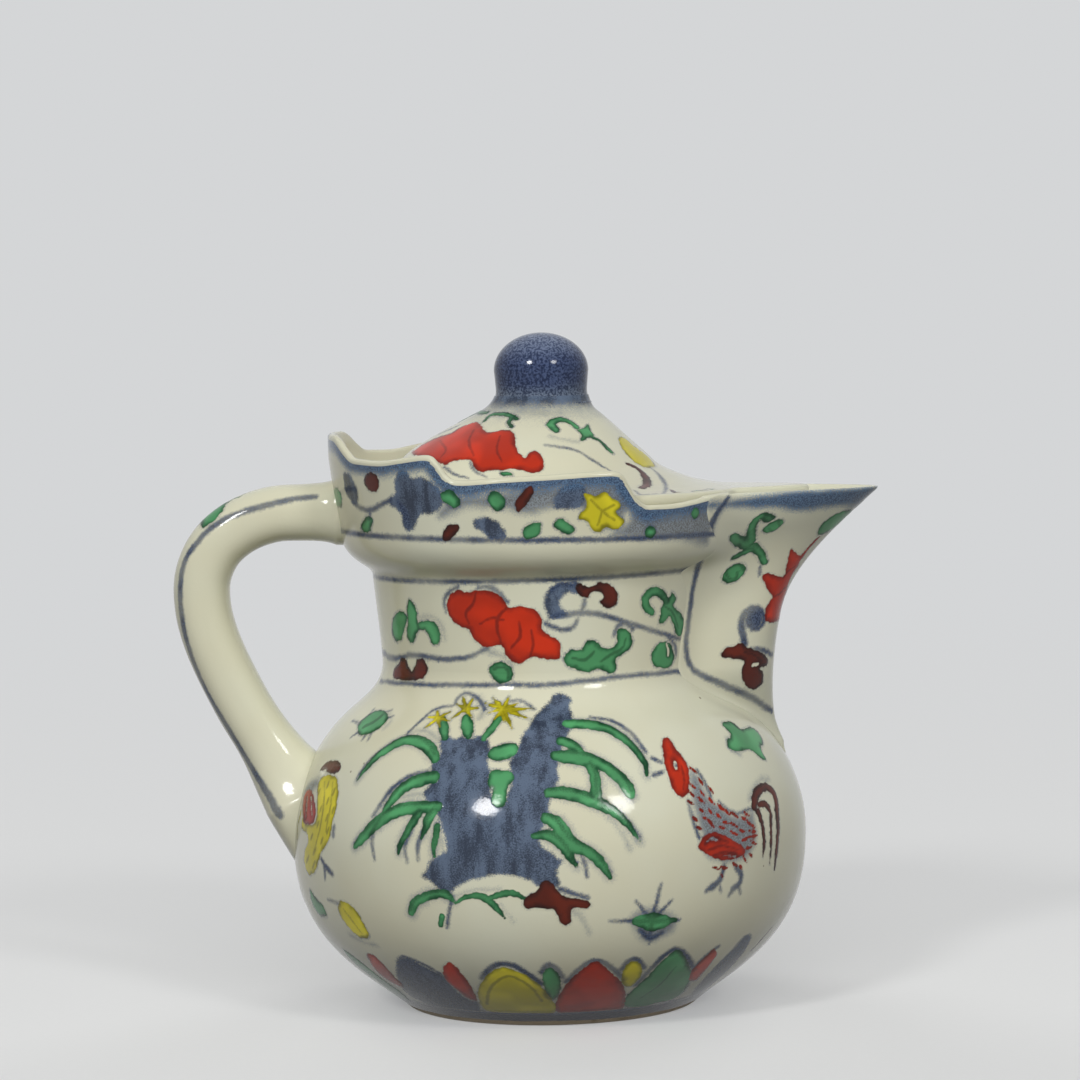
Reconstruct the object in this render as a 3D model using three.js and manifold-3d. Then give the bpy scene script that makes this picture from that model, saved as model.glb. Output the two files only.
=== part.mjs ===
// Monk's cap ewer: a small lidded porcelain wine ewer with a stepped collar and an open duck-bill spout.
// Millimetres, +Z up. The pot is turned about its own axis, the handle is at -X and the spout at +X.
// The whole pot is set so that the middle of its length lies over the origin, and it stands on Z = 0.
import * as THREE from 'three';
import { mergeVertices } from 'three/addons/utils/BufferGeometryUtils.js';
import Module from 'manifold-3d';

const wasm = await Module();
wasm.setup();

// Clearances
const luteGap = 0.3; // joint line between a curved wall and the piece luted to it
const seatGap = 0.3; // lid brim above its ledge

// Foot ring
const footRadius = 28.2;
const footInner = 24.5;
const footHeight = 3.0;
const footTopRadius = 31.7;
const footBevel = 0.8;

// Belly
const bellyRadius = 49.9;
const bellyHeight = 33.5; // the widest line, where the two thrown halves are luted
const bellyWall = 2.4;
const baseThickness = 3.2;
const shoulderRadius = 40.1;
const shoulderHeight = 56.0;

// Neck
const neckRootRadius = 31.8;
const neckRootHeight = 67.0;
const neckTopRadius = 33.4;
const neckTopHeight = 84.2;
const neckWall = 2.2;
const windowSill = 70.0; // lower edge of the opening behind the spout

// Collar
const collarFootRadius = 39.4;
const collarFootHeight = 91.6;
const collarRimRadius = 41.5;
const collarRimHeight = 107.0;
const collarWall = 1.5;
const peakHeight = 111.4;
const peakReach = 39.9;
const rearTier = 107.0;
const rearTierEnd = 108.3;
const rearStep = -20.0; // where the rear tier drops, measured along the pot
const middleTier = 103.5;
const middleTierEnd = 104.8;
const frontStep = 16.3;
const frontTier = 98.1;
const frontTierEnd = 99.4;
const stepRun = 3.2;
const ledgeInner = 34.6;
const ledgeThickness = 2.0;

// Spout
const spoutTip = 65.4;
const spoutRimHeight = 99.3;
const spoutBend = 45.3;
const spoutBendHeight = 74.0;
const spoutRootHeight = 50.0;
const spoutWall = 1.8;
const spoutRootWidth = 17.0; // half its width at the neck
const spoutRimWidth = 20.8; // half its width at the rim
const spoutBackAtNeck = 27.6;
const spoutBackAtRim = 36.0;
const spoutFlareStart = 79.0;
const spoutFloorHeight = 60.0;

// Handle
const handleWidth = 12.6;
const handleTopThickness = 11.0;
const handleEndThickness = 13.0;
const handleReach = 66.5; // centre line's farthest point from the pot's axis
const handleReachHeight = 80.6;
const handleTopHeight = 96.0;
const handleEndHeight = 42.5;

// Lid
const lidEdgeClearance = 0.55;
const brimTop = 99.9;
const brimThickness = 2.4;
const brimHole = 28.4;
const tongueReach = 51.5;
const tongueWidth = 15.0; // half its width where it leaves the brim
const domeFootRadius = 35.6;
const domeTopRadius = 9.9;
const domeTopHeight = 116.4;
const domeWall = 2.3;
const domeLean = -3.4; // how far the dome's middle leans towards the handle
const flangeRadius = 30.6;
const flangeWall = 2.0;
const flangeDepth = 7.0;
const knobRadius = 9.15;
const knobBaseRadius = 9.6;
const knobHeight = 13.7;
const knobDomeHeight = 7.3;
const knobWaist = 8.85;

// Mesh fineness
const turns = 48;
const curveSteps = 7;

// Small helpers
const v2 = (x, y) => new THREE.Vector2(x, y);
const bezier = (a, b, c, d, steps = curveSteps) => new THREE.CubicBezierCurve(a, b, c, d).getPoints(steps);
const shifted = (points, dr, dz = 0) => points.map((p) => v2(p.x + dr, p.y + dz));
const smooth = (x, a, b) => THREE.MathUtils.smoothstep(x, a, b);
const mix = (a, b, t) => a + (b - a) * t;

// A closed mesh as a solid, turned the right way out
function solid(geometry) {
  const bare = geometry.index ? geometry.toNonIndexed() : geometry.clone();
  bare.deleteAttribute('normal');
  bare.deleteAttribute('uv');
  const merged = mergeVertices(bare, 1e-4);
  const place = merged.attributes.position.array;
  const faces = [];
  let volume = 0;
  const a = new THREE.Vector3();
  const b = new THREE.Vector3();
  const c = new THREE.Vector3();
  for (let i = 0; i < merged.index.count; i += 3) {
    const [p, q, r] = merged.index.array.slice(i, i + 3);
    if (p === q || q === r || r === p) continue;
    faces.push([p, q, r]);
    a.fromArray(place, 3 * p);
    b.fromArray(place, 3 * q);
    c.fromArray(place, 3 * r);
    volume += a.dot(b.cross(c));
  }
  const outward = volume > 0 ? faces : faces.map(([p, q, r]) => [p, r, q]);
  return new wasm.Manifold(new wasm.Mesh({
    numProp: 3,
    vertProperties: new Float32Array(place),
    triVerts: new Uint32Array(outward.flat()),
  }));
}

// A solid of revolution about +Z from a closed outline of radius and height
function turned(outline, count = turns) {
  return solid(new THREE.LatheGeometry(outline, count).rotateX(Math.PI / 2));
}

// A solid skinned over a row of closed rings, with a flat fan at each end
function lofted(rings) {
  const size = rings[0].length;
  const place = [];
  const faces = [];
  rings.forEach((ring) => ring.forEach((p) => place.push(p.x, p.y, p.z)));
  for (let j = 0; j + 1 < rings.length; j += 1) {
    for (let i = 0; i < size; i += 1) {
      const k = (i + 1) % size;
      const low = j * size;
      const high = low + size;
      faces.push(low + i, low + k, high + k, low + i, high + k, high + i);
    }
  }
  [0, rings.length - 1].forEach((j) => {
    const middle = rings[j].reduce((sum, p) => sum.add(p), new THREE.Vector3()).divideScalar(size);
    const hub = place.length / 3;
    place.push(middle.x, middle.y, middle.z);
    for (let i = 0; i < size; i += 1) {
      const k = (i + 1) % size;
      const edge = j === 0 ? [k, i] : [i, k];
      faces.push(hub, j * size + edge[0], j * size + edge[1]);
    }
  });
  const geometry = new THREE.BufferGeometry();
  geometry.setAttribute('position', new THREE.Float32BufferAttribute(place, 3));
  geometry.setIndex(faces);
  return solid(geometry);
}

// A flat plate of a given outline between two heights
function plate(shape, low, high) {
  return solid(new THREE.ExtrudeGeometry(shape, { depth: high - low, bevelEnabled: false, curveSegments: 12 })
    .translate(0, 0, low));
}

function toMesh(name, body, colour, roughness) {
  const mesh = body.getMesh();
  const geometry = new THREE.BufferGeometry();
  geometry.setAttribute('position', new THREE.Float32BufferAttribute(mesh.vertProperties, 3));
  geometry.setIndex(Array.from(mesh.triVerts));
  geometry.computeVertexNormals();
  const part = new THREE.Mesh(geometry, new THREE.MeshStandardMaterial({ color: colour, roughness, metalness: 0 }));
  part.name = name;
  return part;
}

// Outer profile of the pot, in four runs that share their end points
const lowerRun = bezier(
  v2(footTopRadius, footHeight),
  v2(footTopRadius + 11.5, footHeight + 8),
  v2(bellyRadius, bellyHeight - 16),
  v2(bellyRadius, bellyHeight),
);
const shoulderRun = bezier(
  v2(bellyRadius, bellyHeight),
  v2(bellyRadius, bellyHeight + 9.5),
  v2(shoulderRadius + 4.5, shoulderHeight - 4.5),
  v2(shoulderRadius, shoulderHeight),
);
const rootRun = bezier(
  v2(shoulderRadius, shoulderHeight),
  v2(shoulderRadius - 3.6, shoulderHeight + 3.6),
  v2(neckRootRadius, neckRootHeight - 5.2),
  v2(neckRootRadius, neckRootHeight),
  5,
);
const neckRun = bezier(
  v2(neckRootRadius, neckRootHeight),
  v2(neckRootRadius + 0.2, neckRootHeight + 5),
  v2(neckTopRadius - 0.5, neckTopHeight - 6),
  v2(neckTopRadius, neckTopHeight),
  4,
);
const flareRun = bezier(
  v2(neckTopRadius, neckTopHeight),
  v2(neckTopRadius + 0.6, neckTopHeight + 2),
  v2(collarFootRadius - 0.8, collarFootHeight - 5),
  v2(collarFootRadius, collarFootHeight),
  6,
);
const collarRun = new THREE.QuadraticBezierCurve(
  v2(collarFootRadius, collarFootHeight),
  v2(collarRimRadius - 0.7, mix(collarFootHeight, collarRimHeight, 0.6)),
  v2(collarRimRadius, collarRimHeight),
).getPoints(4);
const collarTop = peakHeight + 2;

// The pot's outside grown by the luting gap, which trims whatever is luted to it
const potEnvelope = turned([
  v2(0, footHeight),
  ...shifted([...lowerRun, ...shoulderRun.slice(1), ...rootRun.slice(1), ...neckRun.slice(1),
    ...flareRun.slice(1), ...collarRun.slice(1)], luteGap),
  v2(collarRimRadius + luteGap, collarTop),
  v2(0, collarTop),
]);

// Foot ring
const footRing = turned([
  v2(footInner + footBevel, 0),
  v2(footRadius - footBevel / 2, 0),
  v2(footRadius, footBevel / 2),
  v2(footTopRadius, footHeight),
  v2(footInner, footHeight),
  v2(footInner, footBevel),
  v2(footInner + footBevel, 0),
]);

// Lower belly: a bowl with a thick base
const floorHeight = footHeight + baseThickness;
const bowlInside = bezier(
  v2(footTopRadius - 1, floorHeight),
  v2(footTopRadius + 9, floorHeight + 6),
  v2(bellyRadius - bellyWall, bellyHeight - 15),
  v2(bellyRadius - bellyWall, bellyHeight),
);
const lowerBelly = turned([
  v2(0, footHeight),
  ...lowerRun,
  ...bowlInside.reverse(),
  v2(0, floorHeight),
]);

// Upper belly: the shoulder up to the root of the neck
const shoulderInside = shifted([...shoulderRun, ...rootRun.slice(1)], -bellyWall);
const upperBelly = turned([
  ...shoulderRun,
  ...rootRun.slice(1),
  ...shoulderInside.reverse(),
  shoulderRun[0],
]);

// Spout: horizontal sections with nearly straight sides and a rounded front
const spoutFront = [
  ...bezier(
    v2(spoutBend, spoutRootHeight),
    v2(spoutBend - 2.3, mix(spoutRootHeight, spoutBendHeight, 0.3)),
    v2(spoutBend - 1.5, mix(spoutRootHeight, spoutBendHeight, 0.67)),
    v2(spoutBend, spoutBendHeight),
    6,
  ),
  ...bezier(
    v2(spoutBend, spoutBendHeight),
    v2(spoutBend + 1, spoutBendHeight + 7),
    v2(spoutTip - 13.4, spoutRimHeight - 11.3),
    v2(spoutTip, spoutRimHeight),
    9,
  ).slice(1),
];
function spoutSection(front, height, inset) {
  const flare = smooth(height, spoutFlareStart, spoutRimHeight);
  const back = mix(spoutBackAtNeck, spoutBackAtRim, flare);
  const root = smooth(height, spoutRootHeight - 6, spoutRootHeight + 16);
  const width = mix(spoutRootWidth, spoutRimWidth, flare) * root - inset;
  const length = front - inset - back;
  const ring = [];
  const count = 20;
  for (let i = 0; i <= count; i += 1) {
    const t = (2 * i) / count - 1;
    const y = width * t * Math.sqrt((t * t + 1) / 2);
    ring.push(new THREE.Vector3(back + length * (1 - t * t), y, height));
  }
  const inside = neckRootRadius / 2;
  ring.push(new THREE.Vector3(inside, width, height), new THREE.Vector3(inside, -width, height));
  return ring;
}
const spoutHull = lofted(spoutFront.map((p) => spoutSection(p.x, p.y, 0)));
const channelRuns = spoutFront.filter((p) => p.y > spoutFloorHeight);
const channelRings = channelRuns.map((p) => spoutSection(p.x, p.y, spoutWall));
const channelTop = channelRings[channelRings.length - 1];
const channel = lofted([...channelRings, channelTop.map((p) => new THREE.Vector3(p.x, p.y, collarTop + 1))]);
const spout = spoutHull.subtract(channel).subtract(potEnvelope);

// The opening through neck and collar: the channel above its sill
const aboveSill = plate(
  new THREE.Shape([v2(0, -bellyRadius), v2(2 * bellyRadius, -bellyRadius),
    v2(2 * bellyRadius, bellyRadius), v2(0, bellyRadius)]),
  windowSill,
  collarTop + 2,
);
const pouringWindow = channel.intersect(aboveSill);

// Neck
const neck = turned([
  ...neckRun,
  ...shifted(neckRun, -neckWall).reverse(),
  neckRun[0],
]).subtract(pouringWindow);

// Collar: flare, wall and inner ledge, then its stepped edge
const brimUnderside = brimTop - brimThickness;
const ledgeTop = brimUnderside - seatGap;
const collarInside = (height) => {
  const share = (height - collarFootHeight) / (collarRimHeight - collarFootHeight);
  return mix(collarFootRadius, collarRimRadius, Math.min(share, 1)) - collarWall;
};
const flareInside = shifted(flareRun, -neckWall);
const collarBlank = turned([
  ...flareRun,
  ...collarRun.slice(1),
  v2(collarRimRadius, collarTop),
  v2(collarInside(collarTop), collarTop),
  v2(collarInside(collarRimHeight), collarRimHeight),
  v2(collarInside(ledgeTop), ledgeTop),
  v2(ledgeInner, ledgeTop),
  v2(ledgeInner, ledgeTop - ledgeThickness),
  ...flareInside.reverse(),
  flareRun[0],
]);
const edgeLine = new THREE.Path();
const farOut = 2 * bellyRadius;
edgeLine.moveTo(-farOut, collarTop + 1);
edgeLine.lineTo(-farOut, peakHeight);
edgeLine.lineTo(-peakReach, peakHeight);
edgeLine.bezierCurveTo(-peakReach + 2.2, peakHeight, -peakReach + 2, rearTier, -peakReach + 6, rearTier);
edgeLine.bezierCurveTo(-peakReach + 10, rearTier, rearStep - 4, rearTierEnd, rearStep - stepRun / 2, rearTierEnd);
edgeLine.bezierCurveTo(rearStep, rearTierEnd, rearStep, middleTier, rearStep + stepRun, middleTier);
edgeLine.bezierCurveTo(rearStep + 12, middleTier, frontStep - 10, middleTierEnd,
  frontStep - stepRun / 2, middleTierEnd);
edgeLine.bezierCurveTo(frontStep, middleTierEnd, frontStep, frontTier, frontStep + stepRun * 1.3, frontTier);
edgeLine.bezierCurveTo(frontStep + 10, frontTier, frontStep + 14, frontTierEnd, spoutBackAtRim, frontTierEnd);
edgeLine.lineTo(farOut, frontTierEnd);
edgeLine.lineTo(farOut, collarTop + 1);
const aboveEdge = solid(new THREE.ExtrudeGeometry(new THREE.Shape(edgeLine.getPoints(5)), {
  depth: 4 * bellyRadius,
  bevelEnabled: false,
}).rotateX(Math.PI / 2).translate(0, 2 * bellyRadius, 0));
const collar = collarBlank.subtract(aboveEdge).subtract(pouringWindow);

// Handle: a rounded strap swept along a curve in the plane Y = 0
const handleLine = new THREE.CatmullRomCurve3([
  [neckTopRadius, handleTopHeight],
  [collarRimRadius + 5, handleTopHeight],
  [handleReach - 13, handleTopHeight - 0.2],
  [handleReach - 3.1, mix(handleReachHeight, handleTopHeight, 0.58)],
  [handleReach, handleReachHeight],
  [handleReach - 2.4, mix(handleEndHeight, handleReachHeight, 0.76)],
  [handleReach - 7, mix(handleEndHeight, handleReachHeight, 0.52)],
  [handleReach - 12.1, mix(handleEndHeight, handleReachHeight, 0.27)],
  [handleReach - 17.3, handleEndHeight],
  [handleReach - 22.5, handleEndHeight - 8],
].map(([reach, height]) => new THREE.Vector3(-reach, 0, height)), false, 'centripetal');
const handleSteps = 30;
const handleSides = 20;
const handleRings = [];
for (let j = 0; j <= handleSteps; j += 1) {
  const centre = handleLine.getPointAt(j / handleSteps);
  const along = handleLine.getTangentAt(j / handleSteps);
  const across = new THREE.Vector3(along.z, 0, -along.x);
  const half = mix(handleTopThickness, handleEndThickness, smooth(j / handleSteps, 0.45, 0.9)) / 2;
  const ring = [];
  for (let i = 0; i < handleSides; i += 1) {
    const angle = (2 * Math.PI * i) / handleSides;
    const round = (value) => Math.sign(value) * Math.abs(value) ** 0.85;
    ring.push(centre.clone()
      .addScaledVector(across, half * round(Math.cos(angle)))
      .add(new THREE.Vector3(0, (handleWidth / 2) * round(Math.sin(angle)), 0)));
  }
  handleRings.push(ring);
}
const handle = lofted(handleRings).subtract(potEnvelope);

// Lid brim: a flat ring with the tongue that covers the top of the spout's channel
const brimRadius = collarInside(ledgeTop) - lidEdgeClearance;
const discShape = new THREE.Shape();
discShape.absarc(0, 0, brimRadius, 0, 2 * Math.PI);
const tonguePoints = [];
const tongueBack = brimHole + 2;
for (let i = 0; i <= 12; i += 1) {
  const t = i / 6 - 1;
  const y = tongueWidth * t * Math.sqrt((t * t + 1) / 2);
  tonguePoints.push(v2(tongueBack + (tongueReach - tongueBack) * (1 - t * t), y));
}
const holeShape = new THREE.Shape();
holeShape.absarc(0, 0, brimHole, 0, 2 * Math.PI);
const lidBrim = plate(discShape, brimUnderside, brimTop)
  .add(plate(new THREE.Shape(tonguePoints), brimUnderside, brimTop))
  .subtract(plate(holeShape, brimUnderside - 1, brimTop + 1));

// Lid dome: turned, then leaned towards the handle between brim and knob
const domeOutside = new THREE.SplineCurve([
  v2(domeTopRadius, domeTopHeight),
  v2(13.0, domeTopHeight - 2.2),
  v2(18.0, domeTopHeight - 5.7),
  v2(22.7, domeTopHeight - 9.2),
  v2(26.3, domeTopHeight - 12.6),
  v2(29.6, domeTopHeight - 14.9),
  v2(domeFootRadius, brimTop + 0.5),
]).getPoints(11);
const domeInside = [
  v2(brimHole, brimTop),
  v2(25.6, domeTopHeight - 13.9),
  v2(21.4, domeTopHeight - 10.9),
  v2(16.4, domeTopHeight - 7.2),
  v2(10.5, domeTopHeight - 3.6),
  v2(6.0, domeTopHeight - domeWall),
];
const domeBlank = new THREE.LatheGeometry([
  v2(0, domeTopHeight),
  ...domeOutside,
  v2(domeFootRadius, brimTop),
  ...domeInside,
  v2(0, domeTopHeight - domeWall),
], turns).rotateX(Math.PI / 2);
const domePlace = domeBlank.attributes.position;
for (let i = 0; i < domePlace.count; i += 1) {
  const height = domePlace.getZ(i);
  const lean = domeLean * smooth(height, brimTop, brimTop + 5) * (1 - smooth(height, brimTop + 7, domeTopHeight + 2));
  domePlace.setX(i, domePlace.getX(i) + lean);
}
const lidDome = solid(domeBlank);

// Lid flange: the ring that keeps the lid centred in the neck
const lidFlange = turned([
  v2(flangeRadius, brimUnderside - flangeDepth),
  v2(flangeRadius, brimUnderside),
  v2(flangeRadius - flangeWall, brimUnderside),
  v2(flangeRadius - flangeWall, brimUnderside - flangeDepth),
  v2(flangeRadius, brimUnderside - flangeDepth),
]);

// Lid knob: a short drum with a domed top
const knobTop = domeTopHeight + knobHeight;
const knobShoulder = knobTop - knobDomeHeight;
const knobCap = [];
for (let i = 0; i <= 5; i += 1) {
  const angle = (i / 6) * (Math.PI / 2);
  knobCap.push(v2(knobRadius * Math.cos(angle), knobShoulder + knobDomeHeight * Math.sin(angle)));
}
const lidKnob = turned([
  v2(0, domeTopHeight),
  v2(knobBaseRadius, domeTopHeight),
  v2(knobWaist, domeTopHeight + 2),
  ...knobCap,
  v2(0, knobTop),
]);

// The assembly
const glaze = 0xe3dfcf;
const group = new THREE.Group();
group.add(
  toMesh('foot_ring', footRing, 0xd8c8a8, 0.6),
  toMesh('lower_belly', lowerBelly, glaze, 0.12),
  toMesh('upper_belly', upperBelly, glaze, 0.12),
  toMesh('neck', neck, glaze, 0.12),
  toMesh('collar', collar, 0xb9bcc2, 0.12),
  toMesh('spout', spout, glaze, 0.12),
  toMesh('handle', handle, glaze, 0.12),
  toMesh('lid_brim', lidBrim, glaze, 0.12),
  toMesh('lid_dome', lidDome, glaze, 0.12),
  toMesh('lid_flange', lidFlange, glaze, 0.3),
  toMesh('lid_knob', lidKnob, 0x40528a, 0.12),
);
const span = new THREE.Box3().setFromObject(group);
group.position.x = -(span.min.x + span.max.x) / 2;
group.updateMatrixWorld(true);

export default group;
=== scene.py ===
import math

import bmesh
import bpy
import numpy as np
from mathutils import Matrix, Vector


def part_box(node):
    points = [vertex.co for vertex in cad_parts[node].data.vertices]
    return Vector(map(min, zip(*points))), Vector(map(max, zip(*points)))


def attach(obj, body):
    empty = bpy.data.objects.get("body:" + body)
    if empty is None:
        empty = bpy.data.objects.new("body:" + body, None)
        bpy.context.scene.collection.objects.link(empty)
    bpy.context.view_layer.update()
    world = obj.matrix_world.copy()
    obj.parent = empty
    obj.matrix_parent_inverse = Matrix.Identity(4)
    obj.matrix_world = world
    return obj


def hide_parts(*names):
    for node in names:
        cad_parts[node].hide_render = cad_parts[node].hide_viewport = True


# Monk's cap ewer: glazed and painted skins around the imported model. Sizes below are in millimetres about
# the pot's own axis, and makeSkin turns them into metres. Materials read Object coordinates, so their
# heights and scales are in metres. A point at an angle round the pot lies at x = r sin(angle) and
# y = -r cos(angle), so angle 0 faces the camera, the spout is at +X and the handle at -X.
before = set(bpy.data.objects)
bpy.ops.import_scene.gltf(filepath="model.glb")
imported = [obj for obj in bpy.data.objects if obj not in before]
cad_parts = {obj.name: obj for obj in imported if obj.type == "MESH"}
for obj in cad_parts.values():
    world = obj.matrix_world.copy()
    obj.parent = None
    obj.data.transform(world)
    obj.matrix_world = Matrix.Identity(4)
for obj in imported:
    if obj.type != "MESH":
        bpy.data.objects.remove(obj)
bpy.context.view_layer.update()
mm = 0.001
beltLow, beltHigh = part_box("lower_belly")
potAxis = (beltLow.x + beltHigh.x) / 2 / mm  # the pot's axis lies off the middle of the whole length

# Camera, fitted to the photograph
cameraSet = {
    "lens": 130.0,
    "sensor": 36.0,
    "frame": 1080,
    "distance": 755.0,
    "height": 138.3,
    "pitch": 3.67,
    "roll": 1.046,
    "aside": -0.8,
    "clip": (0.05, 20.0),
}


def makeCamera():
    data = bpy.data.cameras.new("camera")
    data.lens = cameraSet["lens"]
    data.sensor_width = cameraSet["sensor"]
    data.clip_start, data.clip_end = cameraSet["clip"]
    camera = bpy.data.objects.new("camera", data)
    turn = Matrix.Rotation(math.radians(90 - cameraSet["pitch"]), 4, "X")
    lean = Matrix.Rotation(-math.radians(cameraSet["roll"]), 4, "Z")
    place = Matrix.Translation(Vector((
        (potAxis + cameraSet["aside"]) * mm, -cameraSet["distance"] * mm, cameraSet["height"] * mm)))
    camera.matrix_world = place @ turn @ lean
    bpy.context.scene.collection.objects.link(camera)
    bpy.context.scene.camera = camera


# Pinhole projection: a point's two sideways distances over its depth, times the focal length in pixels
def toPicture(points):
    focal = cameraSet["lens"] / cameraSet["sensor"] * cameraSet["frame"]
    pitch = math.radians(cameraSet["pitch"])
    roll = math.radians(cameraSet["roll"])
    x = points[..., 0] - cameraSet["aside"]
    y = points[..., 1] + cameraSet["distance"]
    z = points[..., 2] - cameraSet["height"]
    depth = y * math.cos(pitch) - z * math.sin(pitch)
    rise = y * math.sin(pitch) + z * math.cos(pitch)
    u, v = focal * x / depth, -focal * rise / depth
    half = cameraSet["frame"] / 2
    return np.stack([
        half + u * math.cos(roll) + v * math.sin(roll),
        half - u * math.sin(roll) + v * math.cos(roll)], -1)


makeCamera()
print("camera ready")


# Cubic curve: its four points weighted by (1-t)^3, 3t(1-t)^2, 3t^2(1-t) and t^3
def bezier(a, b, c, d, count=120):
    t = np.linspace(0, 1, count)[:, None]
    a, b, c, d = (np.array(p, float) for p in (a, b, c, d))
    return a * (1 - t) ** 3 + 3 * b * t * (1 - t) ** 2 + 3 * c * t ** 2 * (1 - t) + d * t ** 3


# Length along a line up to each of its points
def runLength(line):
    return np.concatenate([[0], np.cumsum(np.linalg.norm(np.diff(line, axis=0), axis=1))])


# The same line with points at equal lengths, about one step apart
def evenly(line, step):
    length = runLength(line)
    want = np.linspace(0, length[-1], max(2, int(round(length[-1] / step)) + 1))
    return np.stack([np.interp(want, length, line[:, k]) for k in range(line.shape[1])], -1)


# Smooth step: 3t^2 - 2t^3 of the share t of the way from low to high
def ease(x, low, high):
    t = np.clip((x - low) / (high - low), 0, 1)
    return t * t * (3 - 2 * t)


# Smooth curve through points: cubic spans whose end slopes come from the square roots of the gaps between
# neighbouring points, so that close points don't make the curve swing out
def throughPoints(points, closed=False, steps=6):
    p = np.array(points, float)
    if closed:
        p = np.concatenate([p[-1:], p, p[:2]])
    else:
        p = np.concatenate([2 * p[:1] - p[1:2], p, 2 * p[-1:] - p[-2:-1]])
    gap = np.maximum(np.linalg.norm(np.diff(p, axis=0), axis=1), 1e-4)[:, None] ** 0.5
    a, b, c, d = p[:-3], p[1:-2], p[2:-1], p[3:]
    before, here, after = gap[:-2], gap[1:-1], gap[2:]
    leave = ((b - a) / before - (c - a) / (before + here) + (c - b) / here) * here
    arrive = ((c - b) / here - (d - b) / (here + after) + (d - c) / after) * here
    t = np.linspace(0, 1, steps, endpoint=False)[None, :, None]
    curve = (b[:, None] * (2 * t ** 3 - 3 * t ** 2 + 1) + leave[:, None] * (t ** 3 - 2 * t ** 2 + t)
             + c[:, None] * (3 * t ** 2 - 2 * t ** 3) + arrive[:, None] * (t ** 3 - t ** 2))
    return np.concatenate([curve.reshape(-1, p.shape[1]), c[-1:]])


# Quarter or half circle in the plane of radius and height, from one angle to another in degrees
def arc(r, z, radius, start, end, count=7):
    angle = np.radians(np.linspace(start, end, count))
    return np.stack([r + radius * np.cos(angle), z + radius * np.sin(angle)], -1)


# The pot's own sizes, as in the model. Each run of its outer profile is a chain of curves: the first
# point, the steps from the first and from the last point to the curve's two middle points, and the last
# point
potSet = {
    "footRadius": 28.2,
    "footInner": 24.5,
    "footHeight": 3.0,
    "footTop": 31.7,
    "belly": (49.9, 33.5),
    "shoulder": (40.1, 56.0),
    "neckRoot": (31.8, 67.0),
    "neckTop": (33.4, 84.2),
    "collarFoot": (39.4, 91.6),
    "collarRim": (41.5, 107.0),
    "runs": {
        "lower": [("footRim", (11.5, 8), (0, -16), "belly")],
        "upper": [("belly", (0, 9.5), (4.5, -4.5), "shoulder"),
                  ("shoulder", (-3.6, 3.6), (0, -5.2), "neckRoot")],
        "neck": [("neckRoot", (0.2, 5), (-0.5, -6), "neckTop")],
        "flare": [("neckTop", (0.6, 2), (-0.8, -5), "collarFoot")],
    },
    "collarBulge": (0.7, 0.6),  # its middle point's step in from the rim, and share of the height
    "collarPeak": 8.0,  # straight wall over the rim's own height, for the peak of the edge
    "bellyWall": 2.4,
    "neckWall": 2.2,
    "collarWall": 1.5,
    "rootDepth": 1.2,  # how far spout and handle run on into the pot's wall
    "base": 3.2,
    "bowlTurn": (9.0, 6.0),  # steps to the middle points of the bowl's inside
    "bowlRise": 15.0,
    "floorRings": (20, 8, 0),
    "underRings": (0, 4, 10, 16, 21),
    "underHollow": 0.6,
    "neckLine": (84.55, 0.021, 0.8),  # height of a painted ring, its slope along X and its width
    "footLine": (3.0, 0.0, 1.1),
    "columns": 760,
    "grain": 0.39,  # length of a face on the painted sides
    "insideGrain": 2.2,
    "windowHalfAngle": 29.0,
    "windowSill": 70.0,
}


# One run of the pot's outer profile, as radius and height. The collar's is a curve with one middle point,
# written with two, and a straight wall above it
def potRun(name):
    p = potSet
    if name == "collar":
        foot, rim = np.array(p["collarFoot"]), np.array(p["collarRim"])
        inward, share = p["collarBulge"]
        bulge = np.array([rim[0] - inward, foot[1] + share * (rim[1] - foot[1])])
        wall = bezier(foot, foot + (bulge - foot) * 2 / 3, rim + (bulge - rim) * 2 / 3, rim)
        return np.concatenate([wall, [rim + [0, p["collarPeak"]]]])
    places = {**p, "footRim": (p["footTop"], p["footHeight"])}
    run = []
    for first, leave, arrive, last in p["runs"][name]:
        a, b = np.array(places[first]), np.array(places[last])
        run.extend(bezier(a, a + leave, b + arrive, b)[1 if run else 0:])
    return np.array(run)


potSide = np.concatenate([potRun(name)[1 if name != "lower" else 0:]
                          for name in ("lower", "upper", "neck", "flare", "collar")])
potSideLength = runLength(potSide)


# The pot's outer radius at a height: straight between the points of its side
def potRadius(height):
    return np.interp(height, potSide[:, 1], potSide[:, 0])


# Keeps points outside the middle of the pot's wall: a point nearer the axis moves straight out to it
def outsidePot(points):
    radius = np.hypot(points[..., 0], points[..., 1])
    least = potRadius(points[..., 2]) - potSet["rootDepth"]
    grow = np.where(radius < least, least / np.maximum(radius, 1e-3), 1)
    return points * np.stack([grow, grow, np.ones_like(grow)], -1)


# Lutes a wall onto the pot: its height over the pot's side, g, is kept above 0 and gets reach / 4 times
# (1 - |g| / reach)^2 more, as a fillet. Between two shares of the reach further in it sinks into the
# pot's wall
def lutedOn(points, reach, sinkSpan):
    radius = np.maximum(np.hypot(points[..., 0], points[..., 1]), 1e-3)
    side = potRadius(points[..., 2])
    gap = radius - side
    fillet = reach / 4 * np.maximum(1 - np.abs(gap) / reach, 0) ** 2
    sunk = potSet["rootDepth"] * ease(-gap / reach, *sinkSpan)
    wanted = side + np.maximum(gap, 0) + fillet - sunk
    grow = wanted / radius
    return points * np.stack([grow, grow, np.ones_like(grow)], -1)


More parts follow.
